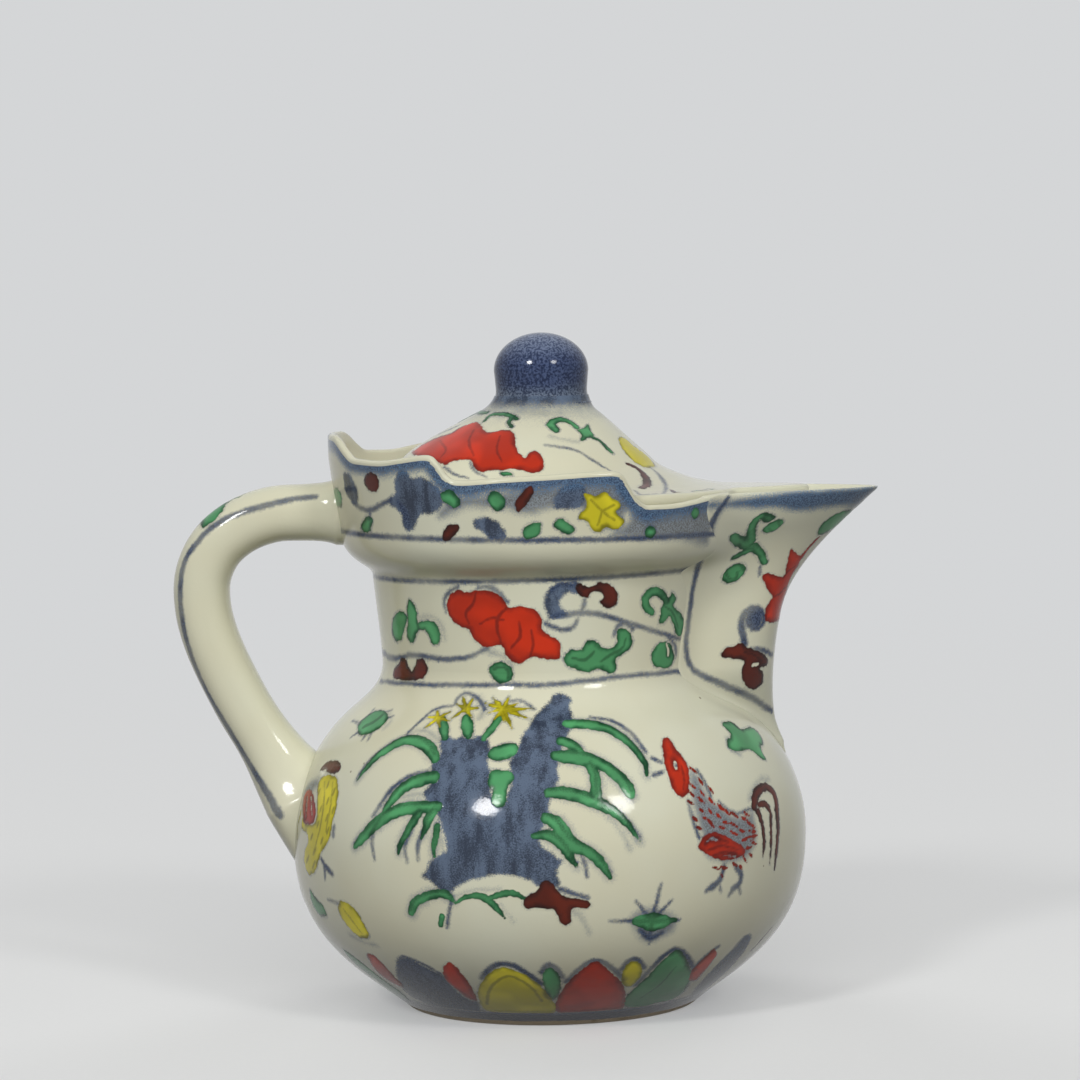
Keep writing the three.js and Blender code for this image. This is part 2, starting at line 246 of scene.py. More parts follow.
# Paint. Each pigment is an attribute that holds how far a point lies inside that colour's edge, in
# millimetres
pigments = ["line", "edge", "wash", "mist", "shade", "green", "yellow", "red", "brown"]
enamels = ["green", "yellow", "red", "brown"]
farOutside = -3.0
paintSet = {
    "pixel": 0.187,  # width of a picture point on the near side of the pot
    "reach": 1.6,
    "stand": 0.07,  # how proud the enamel stands, and the depths between which it rises to that
    "standRise": (-0.05, 0.4),
    "outlineOut": 0.38,  # how far the dark outline reaches to either side of an enamel's edge
    "outlineIn": 0.16,
    "outlineFade": {"green": 0.3, "yellow": 0.34, "red": 0.42, "brown": 0.42},
    "bladeLine": 2.4,
    "bladeLift": 0.4,  # share of its width by which a blade's dark line lies above its middle
    "bladeMist": 9.0,  # how much wider than the blade its soft shade is
    "bladeWidth": 1.15,
    "dotLength": 0.2,
    "margin": 9.0,  # picture points round a motif where its vertices are looked for
    "pastMiddle": 0.5,  # how far behind the middle plane a vertex may still lie
    "batch": 5000,
}


# Surface of revolution: the profile turned round the axis at equal angles
def turned(profile, angles):
    angles = np.radians(angles)[None, :]
    r, z = profile[:, :1], profile[:, 1:]
    return np.stack([r * np.sin(angles), -r * np.cos(angles), z + 0 * angles], -1)


allAngles = np.linspace(-180, 180, potSet["columns"], endpoint=False)


# Unit normals: the cross product of the step along the columns and the step along the rows
def slopes(grid, wrapColumns):
    if wrapColumns:
        sideways = np.roll(grid, -1, 1) - np.roll(grid, 1, 1)
    else:
        sideways = np.gradient(grid, axis=1)
    normal = np.cross(sideways, np.gradient(grid, axis=0))
    return normal / np.maximum(np.linalg.norm(normal, axis=-1, keepdims=True), 1e-9)


# What the painter needs of a surface: two coordinates of its own, their scale, and where it shows in the
# picture
def surfaceOf(grid, across, along, scale, wrapColumns=True):
    normal = slopes(grid, wrapColumns)
    eye = np.array([cameraSet["aside"], -cameraSet["distance"], cameraSet["height"]])
    seen = (((eye - grid) * normal).sum(-1) > 0) & (grid[..., 1] <= paintSet["pastMiddle"])
    made = {"grid": grid, "picture": toPicture(grid).reshape(-1, 2), "seen": seen.ravel()}
    for name, value in (("across", across), ("along", along), ("scale", scale)):
        made[name] = np.broadcast_to(value, grid.shape[:2]).astype(np.float32).ravel()
    for pigment in pigments:
        made[pigment] = np.full(grid.shape[0] * grid.shape[1], farOutside, np.float32)
    return made


# Across is the angle round the pot, folded so that the far side mirrors the near one, and along is the
# length of the profile up to the point's height
def turnedSurface(grid, wrapColumns=True):
    x, y = grid[..., 0], np.abs(grid[..., 1])
    along = np.interp(grid[..., 2], potSide[:, 1], potSideLength)
    return surfaceOf(grid, np.arctan2(x, y), along, np.maximum(np.hypot(x, y), 0.5), wrapColumns)


# A picture point's place on the surface: the mean of the four nearest vertices that show, weighted by
# closeness
def seat(surface, points):
    picture = surface["picture"]
    low, high = points.min(0) - paintSet["margin"], points.max(0) + paintSet["margin"]
    near = np.flatnonzero(surface["seen"] & (picture > low).all(1) & (picture < high).all(1))
    if len(near) < 4:
        near = np.flatnonzero(surface["seen"])
    gap = ((picture[near][None] - points[:, None]) ** 2).sum(-1)
    four = np.argpartition(gap, 3, axis=1)[:, :4]
    weight = 1 / (np.take_along_axis(gap, four, 1) + 0.01)
    weight /= weight.sum(1, keepdims=True)
    four = near[four]
    return np.stack([(surface[key][four] * weight).sum(1) for key in ("across", "along")], -1)


# Distance from vertices to the nearest stretch of a line: a stroke gives its half width less that distance,
# and an outline gives the distance, counted up inside it and down outside
def nearness(surface, chosen, line, half, closed):
    across, along, scale = (surface[key][chosen][:, None] for key in ("across", "along", "scale"))
    x = (line[None, :, 0] - across) * scale
    y = line[None, :, 1] - along
    x1, y1 = x[:, :-1], y[:, :-1]
    dx, dy = np.diff(x, axis=1), np.diff(y, axis=1)
    t = np.clip(-(x1 * dx + y1 * dy) / np.maximum(dx * dx + dy * dy, 1e-9), 0, 1)
    gap = np.hypot(x1 + t * dx, y1 + t * dy)
    if closed:
        crosses = ((y1 > 0) != (y1 + dy > 0)) & (x1 - dx * y1 / np.where(dy == 0, 1e-9, dy) > 0)
        return np.where(crosses.sum(1) % 2 == 1, 1, -1) * gap.min(1)
    return (half[None, :-1] + t * np.diff(half)[None] - gap).max(1)


def keepLarger(surface, pigment, chosen, value):
    surface[pigment][chosen] = np.maximum(surface[pigment][chosen], value)


# Lays strokes, filled outlines and dots on a surface. A stroke's width is in picture points, and may be a
# list that runs along it. A fill's, if it isn't 0, is the most depth that it gets, in millimetres. Enamel
# gets a dark outline, apart from a touch or a flat fill. A blade's outline runs along its upper side
# alone, over a soft shade, and a scratch takes its colour away again
def paint(surface, work):
    for pigment, kind, width, points in work:
        points = np.array(points, float)
        closed = kind in ("fill", "flat")
        if kind == "blade":
            lift = np.array([0, -paintSet["bladeLift"] * np.mean(width)])
            paint(surface, [("line", "line", paintSet["bladeLine"], points + lift),
                            ("mist", "line", np.add(width, paintSet["bladeMist"]), points)])
            width = np.multiply(width, paintSet["bladeWidth"])
        if kind == "dot":
            points = np.concatenate([points, points + paintSet["dotLength"]])
        curve = points if kind == "dot" else throughPoints(points, closed)
        line = seat(surface, curve).astype(np.float32)
        widths = np.atleast_1d(width) * paintSet["pixel"] / 2
        half = np.interp(np.linspace(0, 1, len(line)), np.linspace(0, 1, len(widths)), widths)
        reach = paintSet["reach"] + half.max()
        low, high = line.min(0), line.max(0)
        inside = (surface["along"] > low[1] - reach) & (surface["along"] < high[1] + reach)
        inside &= (surface["across"] - low[0]) * surface["scale"] > -reach
        inside &= (surface["across"] - high[0]) * surface["scale"] < reach
        chosen = np.flatnonzero(inside)
        for part in np.array_split(chosen, max(1, len(chosen) // paintSet["batch"])):
            if not len(part):
                continue
            value = nearness(surface, part, line, half.astype(np.float32), closed)
            if kind == "scratch":
                surface[pigment][part] = np.minimum(surface[pigment][part], -value)
                continue
            if closed and width:
                value = np.minimum(value, width)
            keepLarger(surface, pigment, part, value)
            if pigment in enamels and kind in ("fill", "line", "dot"):
                rim = np.minimum(value + paintSet["outlineOut"], paintSet["outlineIn"] - value)
                keepLarger(surface, "line", part, rim - paintSet["outlineFade"][pigment])


# A ring round the pot at a height that may slope along X
def paintRing(surface, pigment, height, slope, width):
    x, z = surface["grid"][..., 0].ravel(), surface["grid"][..., 2].ravel()
    depth = width / 2 - np.abs(z - height - slope * x)
    keepLarger(surface, pigment, slice(None), depth.astype(np.float32))


# The paint of a surface on the grid that it is a part of: the chosen rows go in from the grid's first
# painted row on, in its leading columns, and the rest of the grid is bare
def paintOf(surface, grid, rows=slice(None), first=0):
    made = {name: np.full(grid.shape[:2], farOutside, np.float32) for name in pigments}
    shape = surface["grid"].shape[:2]
    for name in pigments:
        painted = surface[name].reshape(shape)[rows]
        made[name][first:first + len(painted), :shape[1]] = painted
    return made


skinSet = {
    "weld": 2e-7,  # closes the poles
    "sharpAngle": 40.0,
}


# Quads between neighbouring grid points, in metres; enamel stands a little proud along the normals
def makeSkin(name, grid, layers=None, wrapColumns=True, wrapRows=False, capEnds=False):
    rows, columns = grid.shape[:2]
    points = grid.copy()
    if layers:
        enamel = np.max([layers[key] for key in enamels], axis=0)
        proud = paintSet["stand"] * ease(enamel, *paintSet["standRise"])
        points += slopes(grid, wrapColumns) * proud[..., None]
    points[..., 0] += potAxis
    points = (points * mm).reshape(-1, 3)
    i, j = np.meshgrid(np.arange(columns if wrapColumns else columns - 1),
                       np.arange(rows if wrapRows else rows - 1))
    i2, j2 = (i + 1) % columns, (j + 1) % rows
    faces = np.stack([j * columns + i, j * columns + i2, j2 * columns + i2, j2 * columns + i], -1)
    loops, starts = faces.ravel(), np.arange(faces.size // 4) * 4
    if capEnds == "columns":
        ring = np.arange(rows) * columns
        loops = np.concatenate([loops, ring, (ring + columns - 1)[::-1]])
        starts = np.concatenate([starts, [faces.size, faces.size + rows]])
    if capEnds == "rows":
        ring = np.arange(columns)
        loops = np.concatenate([loops, ring[::-1], ring + (rows - 1) * columns])
        starts = np.concatenate([starts, [faces.size, faces.size + columns]])
    mesh = bpy.data.meshes.new(name)
    mesh.vertices.add(len(points))
    mesh.vertices.foreach_set("co", points.astype(np.float32).ravel())
    mesh.loops.add(len(loops))
    mesh.loops.foreach_set("vertex_index", loops.astype(np.int32))
    mesh.polygons.add(len(starts))
    mesh.polygons.foreach_set("loop_start", starts.astype(np.int32))
    for pigment in pigments:
        value = layers[pigment] if layers else np.full((rows, columns), farOutside, np.float32)
        mesh.attributes.new(pigment, "FLOAT", "POINT").data.foreach_set("value", value.ravel())
    mesh.update(calc_edges=True)
    work = bmesh.new()
    work.from_mesh(mesh)
    bmesh.ops.remove_doubles(work, verts=work.verts, dist=skinSet["weld"])
    work.to_mesh(mesh)
    work.free()
    mesh.validate()
    mesh.polygons.foreach_set("use_smooth", np.ones(len(mesh.polygons), bool))
    mesh.set_sharp_from_angle(angle=math.radians(skinSet["sharpAngle"]))
    piece = bpy.data.objects.new(name, mesh)
    bpy.context.scene.collection.objects.link(piece)
    print(name, len(mesh.polygons), "faces")
    return piece


def finishSkin(piece, body, slotName, material, *nodes):
    piece.data.materials.append(material)
    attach(piece, body)
    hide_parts(*nodes)


# Materials. A colour is given as sRGB of 0 to 255, and its share becomes linear light: over 12.92 where it
# is dark, and ((share + 0.055) / 1.055)^2.4 elsewhere
def colour(red, green, blue):
    share = np.array([red, green, blue]) / 255
    linear = np.where(share <= 0.04045, share / 12.92, ((share + 0.055) / 1.055) ** 2.4)
    return (*[float(value) for value in linear], 1.0)


def scaled(tone, share):
    return (*[value * share for value in tone[:3]], 1.0)


glazeSet = {
    "ivory": colour(211, 211, 189),
    "ivoryWarm": colour(206, 203, 177),
    "pinhole": colour(92, 74, 50),
    "cobalt": colour(26, 38, 64),
    "cobaltPale": colour(70, 86, 114),
    "edgeBlue": colour(26, 54, 92),
    "edgePale": colour(82, 114, 146),
    "slate": colour(44, 54, 72),
    "slatePale": colour(88, 103, 125),
    "mistDark": colour(50, 60, 78),
    "mistPale": colour(110, 122, 138),
    "leaf": colour(12, 68, 38),
    "leafPale": colour(70, 138, 88),
    "lemonDeep": colour(124, 118, 10),
    "lemon": colour(198, 186, 32),
    "ironDeep": colour(110, 18, 2),
    "iron": colour(172, 38, 4),
    "plumDeep": colour(42, 9, 2),
    "plum": colour(82, 24, 7),
    "clay": colour(196, 178, 150),
    "clayDark": colour(140, 114, 84),
    "roughness": 0.1,
    "enamelRoughness": 0.06,  # what the enamel adds
    "gloss": 0.26,
    "poolLight": 1.4,  # how much lighter the enamel is where it runs thin
    "underDark": 0.3,  # its deep tone over a line
    "pinholes": (95.0, 0.02, 0.034, 0.7),  # scale, inner and outer size, strength
    "wave": (70.0, 1.0),  # the throwing's slow waves and the fine orange peel: scale and detail
    "peel": (1300.0, 1.0),
    "peelShare": 0.085,
    "enamelRelief": 0.2,
    "bump": (0.5, 0.0003),  # strength and depth
}
# Noises of the painted glaze: scale, detail and stretch
noiseSet = {
    "speck": (4000.0, 0.0),
    "wobble": (900.0, 1.0),
    "pressure": (150.0, 1.0),
    "cloud": (32.0, 3.0),
    "streak": (420.0, 2.0, (1.0, 1.0, 0.22)),
    "brush": (280.0, 2.0),
}
# Cobalt under the glaze, in the order it is laid: noises that move its depth, the depths between which it
# fills in, the most that it covers, how its tone varies, and its deep and pale colour. The pen presses
# unevenly on a line
cobaltSet = {
    "mist": ([("speck", 1.5), ("brush", 1.2)], (-0.6, 1.9), 0.82, "fine", "mistDark", "mistPale"),
    "wash": ([("speck", 0.8), ("wobble", 0.55)], (-0.5, 0.35), 0.99, "streaky", "slate", "slatePale"),
    "edge": ([("speck", 0.8), ("pressure", 0.8)], (-0.55, 0.5), 0.95, "fine", "edgeBlue", "edgePale"),
    "line": ([("speck", 0.6), ("wobble", 0.4)], (-0.52, 0.34), 1.0, "fine", "cobalt", "cobaltPale"),
}
linePressure = (0.32, 0.62, 0.74, 0.98)
shadeSet = ([("wobble", 0.3)], (-0.3, 0.15))
# Enamels in the order they are laid: deep and pale colour, the depths between which the one turns into the
# other, and how strongly the lines under them show
enamelSet = {
    "green": ("leaf", "leafPale", (-0.2, 1.0), 0.55),
    "yellow": ("lemonDeep", "lemon", (-0.2, 0.9), 0.55),
    "red": ("ironDeep", "iron", (-0.3, 1.3), 0.6),
    "brown": ("plumDeep", "plum", (-0.2, 1.0), 0.55),
}
enamelEdge = ([("wobble", 0.6)], (-0.14, 0.12))
enamelDepth = [("brush", 2.2), ("wobble", 0.5)]


def addNode(tree, kind, inputs=None, **settings):
    made = tree.nodes.new("ShaderNode" + kind)
    for name, value in settings.items():
        setattr(made, name, value)
    for key, value in (inputs or {}).items():
        if isinstance(value, bpy.types.NodeSocket):
            tree.links.new(value, made.inputs[key])
        else:
            made.inputs[key].default_value = value
    return made


def maths(tree, operation, a, b=0.0, c=0.0):
    return addNode(tree, "Math", {0: a, 1: b, 2: c}, operation=operation).outputs[0]


def blend(tree, share, a, b):
    return addNode(tree, "Mix", {0: share, 6: a, 7: b}, data_type="RGBA").outputs[2]


def remap(tree, value, low, high, toLow=0.0, toHigh=1.0):
    made = addNode(tree, "MapRange", {0: value, 1: low, 2: high, 3: toLow, 4: toHigh},
                   interpolation_type="SMOOTHSTEP")
    return made.outputs[0]


def noise(tree, place, scale, detail=2.0, stretch=None):
    if stretch:
        place = addNode(tree, "Mapping", {"Vector": place, "Scale": stretch}).outputs[0]
    return addNode(tree, "TexNoise", {"Vector": place, "Scale": scale, "Detail": detail}).outputs[0]


def newMaterial(name):
    material = bpy.data.materials.new(name)
    material.use_nodes = True
    tree = material.node_tree
    place = addNode(tree, "TexCoord").outputs["Object"]
    return material, tree, tree.nodes["Principled BSDF"], place


# A value moved by noises: each adds its difference from a half, times a strength
def moved(tree, value, *noises):
    for wave, strength in noises:
        offset = maths(tree, "MULTIPLY_ADD", wave, strength, -strength / 2)
        value = maths(tree, "ADD", value, offset)
    return value


# Glaze surface: a slow waviness of the throwing and a fine orange peel
def glazeBump(tree, shader, place, extra=None):
    g = glazeSet
    wave, peel = (noise(tree, place, *g[key]) for key in ("wave", "peel"))
    height = maths(tree, "MULTIPLY_ADD", peel, g["peelShare"], wave)
    if extra:
        height = maths(tree, "ADD", height, extra)
    strength, depth = g["bump"]
    bump = addNode(tree, "Bump", {"Height": height, "Strength": strength, "Distance": depth})
    tree.links.new(bump.outputs[0], shader.inputs["Normal"])


# Ivory glaze with the painting: each colour shows where its own attribute is above zero. Cobalt lies
# under the glaze, soft and speckled. The enamels lie on it, deeper where they are thin, and the lines
# under them darken them
def makeGlaze(name):
    material, tree, shader, place = newMaterial(name)
    g = glazeSet
    layer = {key: addNode(tree, "Attribute", attribute_name=key).outputs["Fac"] for key in pigments}
    wave = {key: noise(tree, place, *values) for key, values in noiseSet.items()}

    # how deep a point lies in a pigment, moved by noises
    def depthIn(pigment, moves):
        return moved(tree, layer[pigment], *[(wave[key], strength) for key, strength in moves])

    tones = {
        "fine": remap(tree, wave["speck"], 0.3, 0.7),
        "streaky": remap(tree, moved(tree, wave["streak"], (wave["speck"], 0.45)), 0.3, 0.7),
    }
    painted = blend(tree, remap(tree, wave["cloud"], 0.3, 0.7), g["ivory"], g["ivoryWarm"])
    holeScale, holeCore, holeRim, holeShare = g["pinholes"]
    hole = addNode(tree, "TexVoronoi", {"Vector": place, "Scale": holeScale}).outputs["Distance"]
    painted = blend(tree, remap(tree, hole, holeCore, holeRim, holeShare, 0.0), painted, g["pinhole"])
    for pigment, (moves, span, most, tone, deep, pale) in cobaltSet.items():
        covered = remap(tree, depthIn(pigment, moves), *span, 0.0, most)
        if pigment == "line":
            covered = maths(tree, "MULTIPLY", covered, remap(tree, wave["pressure"], *linePressure))
        painted = blend(tree, covered, painted, blend(tree, tones[tone], g[deep], g[pale]))
    # what shows under the enamels: the lines, which were laid last, and the shades
    under = maths(tree, "MAXIMUM", covered, remap(tree, depthIn("shade", shadeSet[0]), *shadeSet[1]))

    enamelShare = 0.0
    pool = remap(tree, wave["pressure"], 0.4, 0.7)
    for pigment, (deep, pale, span, shown) in enamelSet.items():
        share = remap(tree, depthIn(pigment, enamelEdge[0]), *enamelEdge[1])
        depth = remap(tree, depthIn(pigment, enamelDepth), *span)
        thin = blend(tree, pool, g[pale], scaled(g[pale], g["poolLight"]))
        enamel = blend(tree, depth, g[deep], thin)
        enamel = blend(tree, maths(tree, "MULTIPLY", under, shown), enamel, scaled(g[deep], g["underDark"]))
        painted = blend(tree, share, painted, enamel)
        enamelShare = maths(tree, "MAXIMUM", share, enamelShare)

    tree.links.new(painted, shader.inputs["Base Color"])
    shader.inputs["Specular IOR Level"].default_value = g["gloss"]
    rough = maths(tree, "MULTIPLY_ADD", enamelShare, g["enamelRoughness"], g["roughness"])
    tree.links.new(rough, shader.inputs["Roughness"])
    relief = maths(tree, "MULTIPLY", wave["wobble"], enamelShare)
    glazeBump(tree, shader, place, maths(tree, "MULTIPLY", relief, g["enamelRelief"]))
    return material


# Powdered cobalt on the knob: deep and speckled on its sides, and paler on its top as painted light from
# above.
# It thins to grey at the root
def makeKnobGlaze():
    material, tree, shader, place = newMaterial("knobGlaze")
    g = glazeSet
    k = knobSet
    height = addNode(tree, "SeparateXYZ", {0: place}).outputs[2]
    grain = remap(tree, noise(tree, place, *k["speck"]), 0.36, 0.66)
    rise = maths(tree, "MULTIPLY_ADD", noise(tree, place, *k["cloud"]), k["unevenness"], height)
    deep = blend(tree, grain, k["deep"], k["deepSpeck"])
    # the top's paler tones: painted light from above
    pale = blend(tree, grain, k["pale"], k["litTopSpeck"])
    root = blend(tree, grain, g["mistDark"], g["mistPale"])
    body = blend(tree, remap(tree, rise, *k["litTopHeights"]), deep, pale)
    body = blend(tree, remap(tree, rise, *k["rootHeights"]), root, body)
    tree.links.new(body, shader.inputs["Base Color"])
    shader.inputs["Specular IOR Level"].default_value = g["gloss"]
    shader.inputs["Roughness"].default_value = g["roughness"]
    glazeBump(tree, shader, place)
    return material


# Foot ring: its clay is bare where the pot stands, and a dark line runs where the glaze stops
footSet = {
    "uneven": (220.0, 3.0),
    "unevenness": 0.0006,
    "fine": (2200.0, 3.0),
    "glazeFrom": (0.00125, 0.00155),
    "linePales": (0.0027, 0.0036),
    "clayRoughness": 0.62,
    "bump": (0.35, 0.0002),
}


def makeFootClay():
    material, tree, shader, place = newMaterial("footClay")
    g = glazeSet
    f = footSet
    height = addNode(tree, "SeparateXYZ", {0: place}).outputs[2]
    uneven = noise(tree, place, *f["uneven"])
    fine = noise(tree, place, *f["fine"])
    level = maths(tree, "MULTIPLY_ADD", uneven, f["unevenness"], height)
    bare = blend(tree, remap(tree, fine, 0.3, 0.7), g["clay"], g["clayDark"])
    bare = blend(tree, remap(tree, uneven, 0.5, 0.75), g["clay"], bare)
    glazed = blend(tree, remap(tree, level, *f["linePales"]), g["cobalt"], g["cobaltPale"])
    isGlazed = remap(tree, level, *f["glazeFrom"])
    tree.links.new(blend(tree, isGlazed, bare, glazed), shader.inputs["Base Color"])
    rough = remap(tree, isGlazed, 0.0, 1.0, f["clayRoughness"], g["roughness"])
    tree.links.new(rough, shader.inputs["Roughness"])
    strength, depth = f["bump"]
    bump = addNode(tree, "Bump", {"Height": fine, "Strength": strength, "Distance": depth})
    tree.links.new(bump.outputs[0], shader.inputs["Normal"])
    return material


# Knob: a short drum with a slight waist and a domed top
knobSet = {
    "side": [(9.7, 116.5), (9.15, 117.4), (8.85, 118.6), (8.95, 120.6), (9.15, 122.8)],
    "dome": 7.3,
    "baseRing": 5.0,
    "columns": 220,
    "deep": colour(24, 36, 66),
    "deepSpeck": colour(66, 80, 114),
    # paler tones of the top, painted light from above
    "pale": colour(60, 72, 100),
    "litTopSpeck": colour(118, 130, 154),
    "speck": (2500.0, 1.0),
    "cloud": (160.0, 2.0),
    "unevenness": 0.003,
    "litTopHeights": (0.1252, 0.1312),
    "rootHeights": (0.1186, 0.1228),
}

potGlaze = makeGlaze("paintedGlaze")
collarGlaze = makeGlaze("collarGlaze")
lidGlaze = makeGlaze("lidGlaze")
knobGlaze = makeKnobGlaze()
footClay = makeFootClay()
print("materials ready")

# The garden scene on the belly, as picture points: (pigment, kind, width, points)
rockery = [
    ("wash", "fill", 0, [
        (440, 742), (448, 737), (455, 739), (462, 736), (470, 739), (479, 736), (487, 740), (490, 750),
        (487, 760), (490, 772), (489, 785), (492, 796), (498, 806), (504, 806), (507, 794), (512, 784),
        (511, 772), (510, 762), (514, 755), (520, 743), (523, 735), (530, 725), (535, 716), (543, 708),
        (551, 700), (553, 696), (560, 694), (567, 696), (571, 699), (569, 707), (572, 714), (573, 720),
        (570, 730), (564, 741), (561, 750), (559, 760), (557, 770), (558, 780), (553, 790), (550, 800),
        (548, 811), (545, 820), (541, 832), (539, 841), (544, 849), (552, 853), (557, 858), (563, 861),
        (558, 867), (557, 875), (560, 885), (550, 888), (538, 886), (530, 880), (518, 877), (500, 874),
        (485, 877), (470, 880), (458, 886), (449, 892), (441, 891), (436, 887), (431, 881), (422, 876),
        (427, 869), (430, 862), (439, 856), (447, 850), (446, 840), (443, 830), (440, 820), (436, 810),
        (428, 802), (424, 793), (430, 785), (433, 776), (431, 766), (437, 760), (441, 752)]),
    ("shade", "line", [4, 7, 6, 2], [(560, 698), (554, 725), (548, 760), (544, 795)]),
    ("shade", "line", [2, 6, 8, 3], [(530, 735), (526, 770), (518, 810), (512, 850)]),
    ("shade", "line", [2, 5, 3], [(452, 742), (447, 775), (455, 812)]),
    ("shade", "line", [2, 4, 2], [(474, 742), (477, 770), (470, 800)]),
    ("shade", "line", [3, 7, 3], [(470, 838), (495, 852), (530, 862)]),
    ("shade", "line", [2, 6, 3], [(432, 874), (450, 868), (470, 866)]),
    ("green", "fill", 0, [
        (488, 757), (490, 750), (500, 745), (511, 743), (518, 746), (517, 753), (509, 758), (497, 761)]),
    ("green", "fill", 0, [
        (488, 777), (491, 771), (500, 770), (511, 772), (514, 779), (508, 787), (507, 797), (503, 806),
        (496, 807), (491, 800), (493, 791), (488, 785)]),
    ("green", "line", [8, 11, 8], [(442, 719), (444, 728), (445, 738)]),
    ("green", "line", [9, 13, 12, 6], [(466, 717), (467, 725), (468, 732), (469, 737)]),
    ("green", "line", [9, 9, 8, 6], [(499, 718), (494, 726), (488, 733), (484, 739)]),
    ("mist", "line", 9, [(404, 738), (416, 731), (428, 732), (440, 741)]),
    ("mist", "line", 10, [(478, 698), (484, 708), (480, 718)]),
    ("line", "line", 2.6, [(406, 735), (415, 726), (424, 718), (432, 711), (442, 707), (453, 706)]),
    ("line", "line", 3, [(455, 704), (459, 697), (466, 693), (474, 696), (481, 702), (485, 710)]),
    ("line", "line", 2.6, [(510, 701), (522, 701), (534, 709)]),
    ("shade", "line", 1.6, [(500, 709), (486, 706)]),
    ("shade", "line", 1.6, [(504, 708), (524, 706)]),
    ("shade", "line", 1.6, [(503, 711), (510, 725)]),
    ("shade", "line", 1.6, [(466, 710), (467, 700)]),
]
stars = [
    ((438, 718), [(425, 728), (428, 717), (437, 711), (450, 712), (449, 721), (440, 727)]),
    ((466, 709), [(452, 718), (457, 704), (463, 697), (473, 699), (479, 708), (472, 718)]),
    ((503, 709), [(485, 703), (488, 713), (493, 698), (509, 697), (519, 703), (534, 709), (529, 719),
                  (512, 729), (504, 722), (494, 720)]),
]
rockery += [("yellow", "line", [5, 4.5, 1.5], [middle, tip]) for middle, tips in stars for tip in tips]
blades = [
    ("green", "blade", [10, 12, 12, 11, 10, 9, 8, 6, 2], [
        (435, 758), (430, 749), (420, 742), (409, 740), (398, 743), (388, 749), (377, 757), (367, 767),
        (357, 781)]),
    ("shade", "line", [2, 5, 2], [(424, 751), (406, 747), (388, 755)]),
    ("green", "blade", [12, 13, 12, 11, 9, 6], [
        (434, 777), (424, 779), (412, 783), (401, 790), (393, 799), (385, 810)]),
    ("line", "line", [3, 4, 5, 4, 3], [(428, 771), (408, 777), (393, 788), (382, 802), (373, 816)]),
    ("mist", "line", 8, [(430, 795), (415, 794), (400, 798)]),
    ("green", "blade", [9, 11, 12, 12, 12, 12, 11, 9, 4], [
        (438, 806), (425, 807), (412, 808), (400, 810), (389, 815), (378, 822), (368, 832), (360, 841),
        (355, 847)]),
    ("line", "line", [3, 5, 4, 2], [(380, 818), (373, 831), (372, 844), (375, 860)]),
    ("green", "blade", [7, 8, 6, 5, 2], [(420, 812), (412, 824), (405, 836), (400, 846), (398, 854)]),
    ("line", "line", [2, 4, 2], [(413, 828), (405, 845), (407, 862)]),
    ("green", "blade", [9, 9, 6, 3], [(433, 812), (428, 820), (425, 829), (422, 838)]),
    ("line", "line", [3, 4, 2], [(423, 830), (418, 845), (418, 860)]),
    ("green", "blade", [6, 7, 6, 3], [(437, 826), (436, 836), (434, 846), (434, 856)]),
    ("mist", "line", 6, [(441, 838), (443, 850)]),
    ("green", "blade", [10, 11, 11, 10, 9, 8, 7, 6, 3], [
        (568, 724), (580, 724), (592, 725), (605, 728), (617, 734), (628, 742), (637, 752), (644, 762),
        (647, 776)]),
    ("line", "line", [2, 4, 4, 3], [(590, 717), (612, 721), (630, 732), (646, 752)]),
    ("green", "blade", [10, 10, 5], [(562, 741), (572, 745), (582, 752)]),
    ("green", "blade", [10, 15, 14, 12, 11, 11, 12, 8], [
        (556, 756), (570, 757), (585, 759), (598, 763), (610, 770), (620, 778), (627, 787), (631, 795)]),
    ("green", "blade", [9, 9, 10, 10], [(590, 766), (595, 776), (596, 788), (596, 799)]),
    ("green", "blade", [9, 12, 12, 12, 12, 10, 8, 6, 2], [
        (549, 793), (562, 793), (575, 795), (588, 799), (600, 804), (609, 809), (619, 816), (629, 826),
        (640, 841)]),
    ("mist", "line", 7, [(600, 811), (614, 822), (624, 836), (630, 850)]),
    ("green", "blade", [9, 12, 13, 12, 12, 10, 9, 4], [
        (546, 818), (554, 822), (561, 829), (567, 838), (576, 846), (590, 853), (600, 862), (610, 877)]),
    ("green", "blade", [5, 9, 11, 10, 8, 3], [
        (533, 836), (545, 835), (555, 838), (563, 846), (569, 855), (576, 866)]),
    ("mist", "line", 6, [(566, 830), (577, 841), (592, 850)]),
    ("line", "line", [2, 4, 2], [(581, 853), (585, 864), (587, 877)]),
    ("green", "blade", [6, 9, 8, 8, 8, 4], [
        (411, 913), (415, 903), (423, 898), (435, 894), (447, 895), (453, 900)]),
    ("line", "line", [2, 3, 3], [(452, 898), (449, 912), (447, 927)]),
    ("green", "touch", 6, [(442, 916), (441, 925)]),
    ("green", "touch", [3, 5, 7, 8, 7, 3], [
        (456, 903), (466, 897), (478, 896), (488, 900), (496, 908), (505, 918)]),
    ("green", "touch", [5, 7, 7, 3], [(488, 899), (499, 895), (512, 893), (527, 900)]),
    ("mist", "line", 5, [(456, 896), (475, 890), (500, 890)]),
    ("mist", "line", 5, [(500, 905), (508, 914), (514, 922)]),
]
